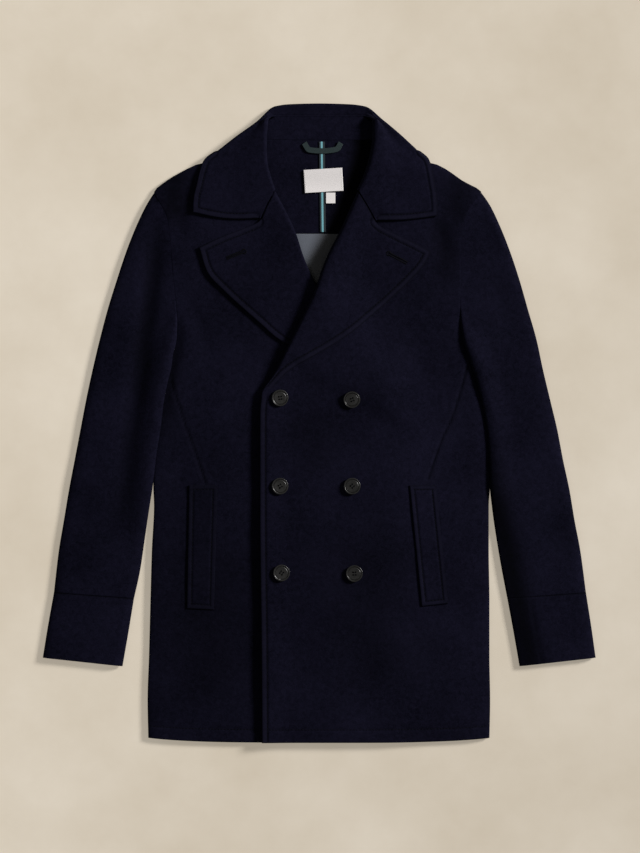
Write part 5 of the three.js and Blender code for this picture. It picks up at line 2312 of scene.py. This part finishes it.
@dataclass
class Studio:
    """Pale floor, soft lights and the camera above the coat.

    Args:
        floor_size: Side of the floor.
        floor_albedo: Share of the floor's brightness that the lights give; the floor glows with the rest,
            painted light that lightens the shadows on it.
        camera_height: Height of the camera.
        view_height: Height of what the camera sees on the floor.
        centre: Middle of what it sees.
        lamps: Name, place, size and watts of each lamp.
        lamp_colour: Colour of the lamps and the sky.
        sky: Strength of the sky.
    """

    floor_size: float = 16.0
    floor_albedo: float = 0.5
    camera_height: float = 4.2
    view_height: float = 1.194
    centre: tuple[float, float] = (0.0011, -0.0049)
    lamps: tuple = (("key", (6.3, 2.9, 3.7), 1.7, 1070.0), ("fill", (-2.2, -0.6, 3.2), 2.6, 10.0))
    lamp_colour: tuple[float, float, float] = (1.0, 0.99, 0.98)
    sky: float = 0.15

    def backdrop(self) -> Material:
        """Builds the floor's finish: pale paper, clouded and a little brighter on the left.

        Returns:
            The material.
        """
        material = bpy.data.materials.new("pale_backdrop")
        material.use_nodes = True
        tree = material.node_tree
        shader = tree.nodes["Principled BSDF"]
        shader.inputs["Roughness"].default_value = 0.9
        shader.inputs["Specular IOR Level"].default_value = 0.1
        # The floor glows with the share of its brightness that the lights don't give: painted light that
        # lightens the coat's shadow on it.
        shader.inputs["Emission Strength"].default_value = 1.0 - self.floor_albedo
        place = add_node(tree, "ShaderNodeTexCoord").outputs["Object"]
        drift = {"Scale": 3.2, "Detail": 7.0, "Roughness": 0.62}
        cloud = add_node(tree, "ShaderNodeTexNoise", drift, {"Vector": place})
        ramp = add_node(tree, "ShaderNodeValToRGB", None, {"Fac": cloud.outputs["Fac"]})
        shades = (0.30, linear(205, 193, 174)), (0.72, linear(222, 212, 196))
        for end, (position, colour) in zip(ramp.color_ramp.elements, shades):
            end.position, end.color = position, colour
        spread = add_node(tree, "ShaderNodeSeparateXYZ", None, {0: place})
        slope = {"From Min": -0.6, "From Max": 0.6, "To Min": 1.09, "To Max": 0.87}
        falloff = add_node(tree, "ShaderNodeMapRange", slope, {"Value": spread.outputs["X"]})
        multiply = {"data_type": "RGBA", "blend_type": "MULTIPLY"}
        feeds = {"A": ramp.outputs["Color"], "B": falloff.outputs["Result"]}
        shaded = add_node(tree, "ShaderNodeMix", {"Factor": 1.0}, feeds, **multiply).outputs["Result"]
        values = {"Factor": 1.0, "B": (self.floor_albedo,) * 3 + (1.0,)}
        lit = add_node(tree, "ShaderNodeMix", values, {"A": shaded}, **multiply)
        tree.links.new(lit.outputs["Result"], shader.inputs["Base Color"])
        tree.links.new(shaded, shader.inputs["Emission Color"])
        return material

    def floor(self) -> None:
        """Builds the floor, just under the coat."""
        bpy.ops.object.select_all(action="DESELECT")
        bpy.ops.mesh.primitive_grid_add(x_subdivisions=8, y_subdivisions=8, size=self.floor_size)
        floor = bpy.context.object
        floor.name = "floor"
        floor.data.transform(Matrix.Translation((0, 0, -0.0002)))
        floor.data.materials.append(self.backdrop())

    def lights(self) -> None:
        """Sets the lamps, aimed at the coat, and the sky."""
        for name, spot, size, power in self.lamps:
            data = bpy.data.lights.new(name, "AREA")
            data.shape, data.size, data.energy, data.color = "SQUARE", size, power, self.lamp_colour
            lamp = bpy.data.objects.new(name, data)
            lamp.location = spot
            lamp.rotation_euler = (-Vector(spot)).to_track_quat("-Z", "Y").to_euler()
            bpy.context.scene.collection.objects.link(lamp)
        world = bpy.context.scene.world or bpy.data.worlds.new("sky")
        bpy.context.scene.world = world
        world.use_nodes = True
        sky = world.node_tree.nodes["Background"]
        sky.inputs["Color"].default_value = (*self.lamp_colour, 1.0)
        sky.inputs["Strength"].default_value = self.sky
        bpy.context.scene.view_settings.view_transform = "Standard"

    def camera(self) -> None:
        """Sets the camera straight above the coat."""
        data = bpy.data.cameras.new("overhead")
        data.sensor_fit, data.sensor_height = "VERTICAL", 24.0
        data.sensor_width = 24.0 * 640 / 853
        data.lens = 24.0 * self.camera_height / self.view_height
        camera = bpy.data.objects.new("overhead", data)
        camera.location = (*self.centre, self.camera_height)
        bpy.context.scene.collection.objects.link(camera)
        bpy.context.scene.camera = camera


@dataclass
class Sewing:
    """The rows of stitching that show on the coat.

    Args:
        pieces: The finished pieces by name.
        collar: The collar.
    """

    pieces: dict
    collar: Collar

    def lapel(self, side: Side) -> None:
        """Sews one lapel's free edges and works its buttonhole.

        Args:
            side: Which lapel.
        """
        shape, piece = LAPELS[side], self.pieces["lapel", side]
        find = height_finder(piece)
        stitches = Stitches(f"lapel_{side.word}_stitching")
        upper = Line(shape.upper_line(np.linspace(shape.notch_share, 1, 30)))
        for line in (upper, shape.edge_line):
            stitches.row(line.moved_in(TOPSTITCHED.border, -side.value, TOPSTITCHED.border), find)
        stitches.buttonhole(*shape.slit, find)
        stitches.make()

    def front(self, side: Side) -> None:
        """Sews one front's hem and, on the right front, its edge.

        Args:
            side: Which front.
        """
        stitches = Stitches(f"front_{side.word}_stitching")
        find = height_finder(self.pieces["front", side])
        if side is Side.RIGHT:
            heights = np.linspace(0.020, HEM_Y + 0.006, 60)
            across = OPENING_RAIL["right"](heights) + TOPSTITCHED.border
            stitches.row(Line(np.column_stack([across, hemmed(across, heights)])), find)
        ends = (-0.236, -0.086) if side is Side.LEFT else (-0.070, 0.235)
        across = np.linspace(*ends, 50)
        heights = np.full(50, HEM_Y + HEM_STITCH)
        stitches.row(Line(np.column_stack([across, hemmed(across, heights)])), find)
        stitches.make()

    def welt(self, side: Side) -> None:
        """Sews round one welt.

        Args:
            side: Which welt.
        """
        welt = WELTS[side]
        stitches = Stitches(f"welt_{side.word}_stitching")
        find = height_finder(self.pieces["welt", side])
        for start, end in zip(welt.corners, welt.corners[1:] + welt.corners[:1]):
            stitches.row(Line([start, end]).moved_in(welt.form.border, -1, welt.form.border), find)
        stitches.make()

    def build(self) -> None:
        """Sews every row."""
        for side in Side:
            self.lapel(side)
        stitches = Stitches("collar_stitching")
        find = height_finder(self.pieces["collar"])
        for points, turn in self.collar.sewn:
            stitches.row(Line(points).moved_in(TOPSTITCHED.border, turn, TOPSTITCHED.border), find)
        stitches.make()
        for side in Side:
            self.front(side)
            self.welt(side)
        stitches = Stitches("neck_label_stitching", length=0.0022, gap=0.0009, radius=0.00018)
        find = height_finder(self.pieces["neck_label"])
        for share in (0.03, 0.97):
            ends = [LABEL_PLACE(np.array(share), np.array(v)) for v in (0.06, 0.94)]
            stitches.row(Line([(float(x), float(y)) for x, y in ends]), find)
        stitches.make(LABEL_THREAD, Slot.LABEL)


# Each front: its top, thickness, dart seam, folds, and then patches of painted shade.
FRONTS = {
    Side.LEFT: Front(
        Side.LEFT,
        LAY.left_top,
        FRONT_WALL,
        ((-0.2075, 0.060), (-0.191, 0.010), (-0.174, -0.038), (-0.161, -0.077), (-0.158, -0.087)),
        (
            Fold((-0.188, 0.175), (-0.150, 0.085), 0.013, -0.0018, 0.004),
            Fold((-0.150, 0.020), (-0.105, -0.060), 0.016, 0.0008),
            Fold((-0.174, 0.350), (-0.197, 0.262), 0.011, -0.0024, -0.005),
            Fold((-0.196, 0.150), (-0.218, 0.020), 0.009, -0.0024),
            Fold((-0.120, -0.300), (-0.135, -0.400), 0.020, 0.0007),
        ),
        (
            Fold((-0.196, 0.372), (-0.206, 0.270), 0.022, 0.62),
            Fold((-0.202, 0.150), (-0.215, -0.020), 0.014, 0.50),
            Fold((-0.150, -0.140), (-0.150, -0.420), 0.060, 0.42),
        ),
    ),
    Side.RIGHT: Front(
        Side.RIGHT,
        LAY.right_top,
        LAP_WALL,
        ((0.2065, 0.076), (0.196, 0.038), (0.186, 0.007), (0.171, -0.025), (0.152, -0.080)),
        (
            Fold((0.158, 0.285), (0.178, 0.225), 0.013, -0.0024, 0.003),
            Fold((0.120, 0.150), (0.165, 0.060), 0.018, -0.0009, -0.006),
            Fold((0.080, 0.060), (0.130, -0.030), 0.018, 0.0008),
            Fold((0.020, -0.290), (0.010, -0.400), 0.022, 0.0007),
        ),
        (
            Fold((0.196, 0.362), (0.196, 0.270), 0.024, 0.52),
            Fold((0.168, 0.300), (0.182, 0.190), 0.020, 0.45),
            Fold((-0.030, 0.010), (0.020, -0.060), 0.040, 0.30),
            Fold((0.060, -0.130), (0.090, -0.400), 0.070, 0.30),
        ),
    ),
}

LAPELS = {
    Side.LEFT: Lapel(
        Side.LEFT,
        (
            (-0.0622, 0.3225), (-0.0727, 0.3035), (-0.082, 0.284), (-0.107, 0.272), (-0.137, 0.260),
            (-0.168, 0.245),
        ),
        (
            (-0.168, 0.245), (-0.157, 0.211), (-0.132, 0.183), (-0.107, 0.160), (-0.083, 0.139),
            (-0.059, 0.118), (-0.017, 0.094), (0.035, 0.066), (0.071, 0.043),
        ),
        LAY.front_under,
        FRONT_WALL,
        0.36,
        ((-0.129, 0.230), (-0.105, 0.2395)),
    ),
    Side.RIGHT: Lapel(
        Side.RIGHT,
        (
            (0.0545, 0.3222), (0.0686, 0.2992), (0.0795, 0.2808), (0.109, 0.263), (0.136, 0.250),
            (0.156, 0.239),
        ),
        (
            (0.156, 0.239), (0.145, 0.219), (0.127, 0.199), (0.102, 0.175), (0.075, 0.151), (0.045, 0.126),
            (0.018, 0.108), (-0.013, 0.090), (-0.034, 0.078), (-0.048, 0.067), (-0.070, 0.043),
        ),
        LAY.right_under,
        LAP_WALL,
        0.36,
        ((0.122, 0.2235), (0.097, 0.2365)),
    ),
}

SLEEVE_FOLDS = {
    Side.LEFT: (
        Fold((-0.226, 0.280), (-0.262, 0.010), 0.013, -0.0056, 0.002),
        Fold((-0.259, 0.060), (-0.281, -0.150), 0.015, -0.0034),
        Fold((-0.246, 0.250), (-0.284, 0.030), 0.014, 0.0012),
        Fold((-0.330, -0.090), (-0.345, -0.210), 0.016, -0.0008, -0.004),
    ),
    Side.RIGHT: (
        Fold((0.232, 0.300), (0.262, 0.235), 0.008, 0.0013, 0.003),
        Fold((0.246, 0.215), (0.262, 0.120), 0.014, -0.0012),
        Fold((0.292, 0.110), (0.312, -0.060), 0.016, 0.0009, 0.004),
        Fold((0.330, -0.090), (0.345, -0.210), 0.018, -0.0008),
    ),
}
# Patches of painted shade on each sleeve: a darker strip along the right sleeve's inner side.
SLEEVE_PAINTED_SHADE = {Side.LEFT: (), Side.RIGHT: (Fold((0.232, -0.020), (0.315, -0.430), 0.020, 0.80),)}
CUFF_SEAMS = {Side.LEFT: (), Side.RIGHT: ((0.294, -0.241), (0.309, -0.321), (0.312, -0.345))}

WELTS = {
    Side.LEFT: Welt(
        Side.LEFT, ((-0.182, -0.087), (-0.142, -0.087), (-0.147, -0.261), (-0.185, -0.259)), LAY.left_top
    ),
    Side.RIGHT: Welt(
        Side.RIGHT, ((0.126, -0.087), (0.163, -0.087), (0.180, -0.252), (0.143, -0.256)), LAY.right_top
    ),
}

LABEL_PLACE = label_place(0.006, 0.339, 0.054, 0.032, 0.06)
SIZE_PLACE = label_place(0.016, 0.3145, 0.013, 0.015, 0.0)


def stand_top(x: Array, y: Array) -> Array:
    """Height of the stand's shown face."""
    return STAND_TOP + 0 * x


def lining_top(x: Array, y: Array) -> Array:
    """Height of the lining's shown face."""
    return LAY.back_top(x, y) + SEAM_GAP + LINING_WALL


# The facing and the lining carry the painted shadow of the right roll.
PANELS = (
    SmallPanel(
        "back_facing", Slot.WOOL, facing_place, LAY.facing_top, FACING_WALL, 50, 60, painted_shade=roll_painted_shadow
    ),
    SmallPanel("collar_stand", Slot.WOOL, stand_place, stand_top, COLLAR_WALL, 60, 14),
    SmallPanel("lining", Slot.SATIN, lining_place, lining_top, LINING_WALL, 40, 30, painted_shade=roll_painted_shadow),
    SmallPanel("centre_tape", Slot.TAPE, tape_place, LAY.tape_top, TAPE_WALL, 8, 60, sheet=False),
    SmallPanel("neck_label", Slot.LABEL, LABEL_PLACE, LAY.label_top, TAPE_WALL, 30, 20),
    SmallPanel("size_label", Slot.LABEL, SIZE_PLACE, LAY.label_top, TAPE_WALL, 10, 12),
    SmallPanel("hanger_loop", Slot.LOOP, loop_place, LAY.label_top, TAPE_WALL, 8, 60, sheet=False),
)


def main() -> None:
    """Builds the studio, then the coat piece by piece, and notes both sizes."""
    logging.basicConfig(level=logging.INFO, format="%(name)s %(message)s")
    studio = Studio()
    studio.camera()
    studio.floor()
    studio.lights()
    Back().build()
    pieces = {("front", side): front.build() for side, front in FRONTS.items()}
    for side, lapel in LAPELS.items():
        pieces["lapel", side] = lapel.build()
    collar = Collar()
    pieces["collar"] = collar.build()
    for side in Side:
        Sleeve(side, False, SLEEVE_FOLDS[side], shades=SLEEVE_PAINTED_SHADE[side]).build()
        Sleeve(side, True, (), CUFF_SEAMS[side], SLEEVE_PAINTED_SHADE[side]).build()
    for side, welt in WELTS.items():
        pieces["welt", side] = welt.build()
    for panel in PANELS:
        pieces[panel.node] = panel.build()
    Buttons().build()
    Sewing(pieces, collar).build()


if __name__ == "__main__":
    main()
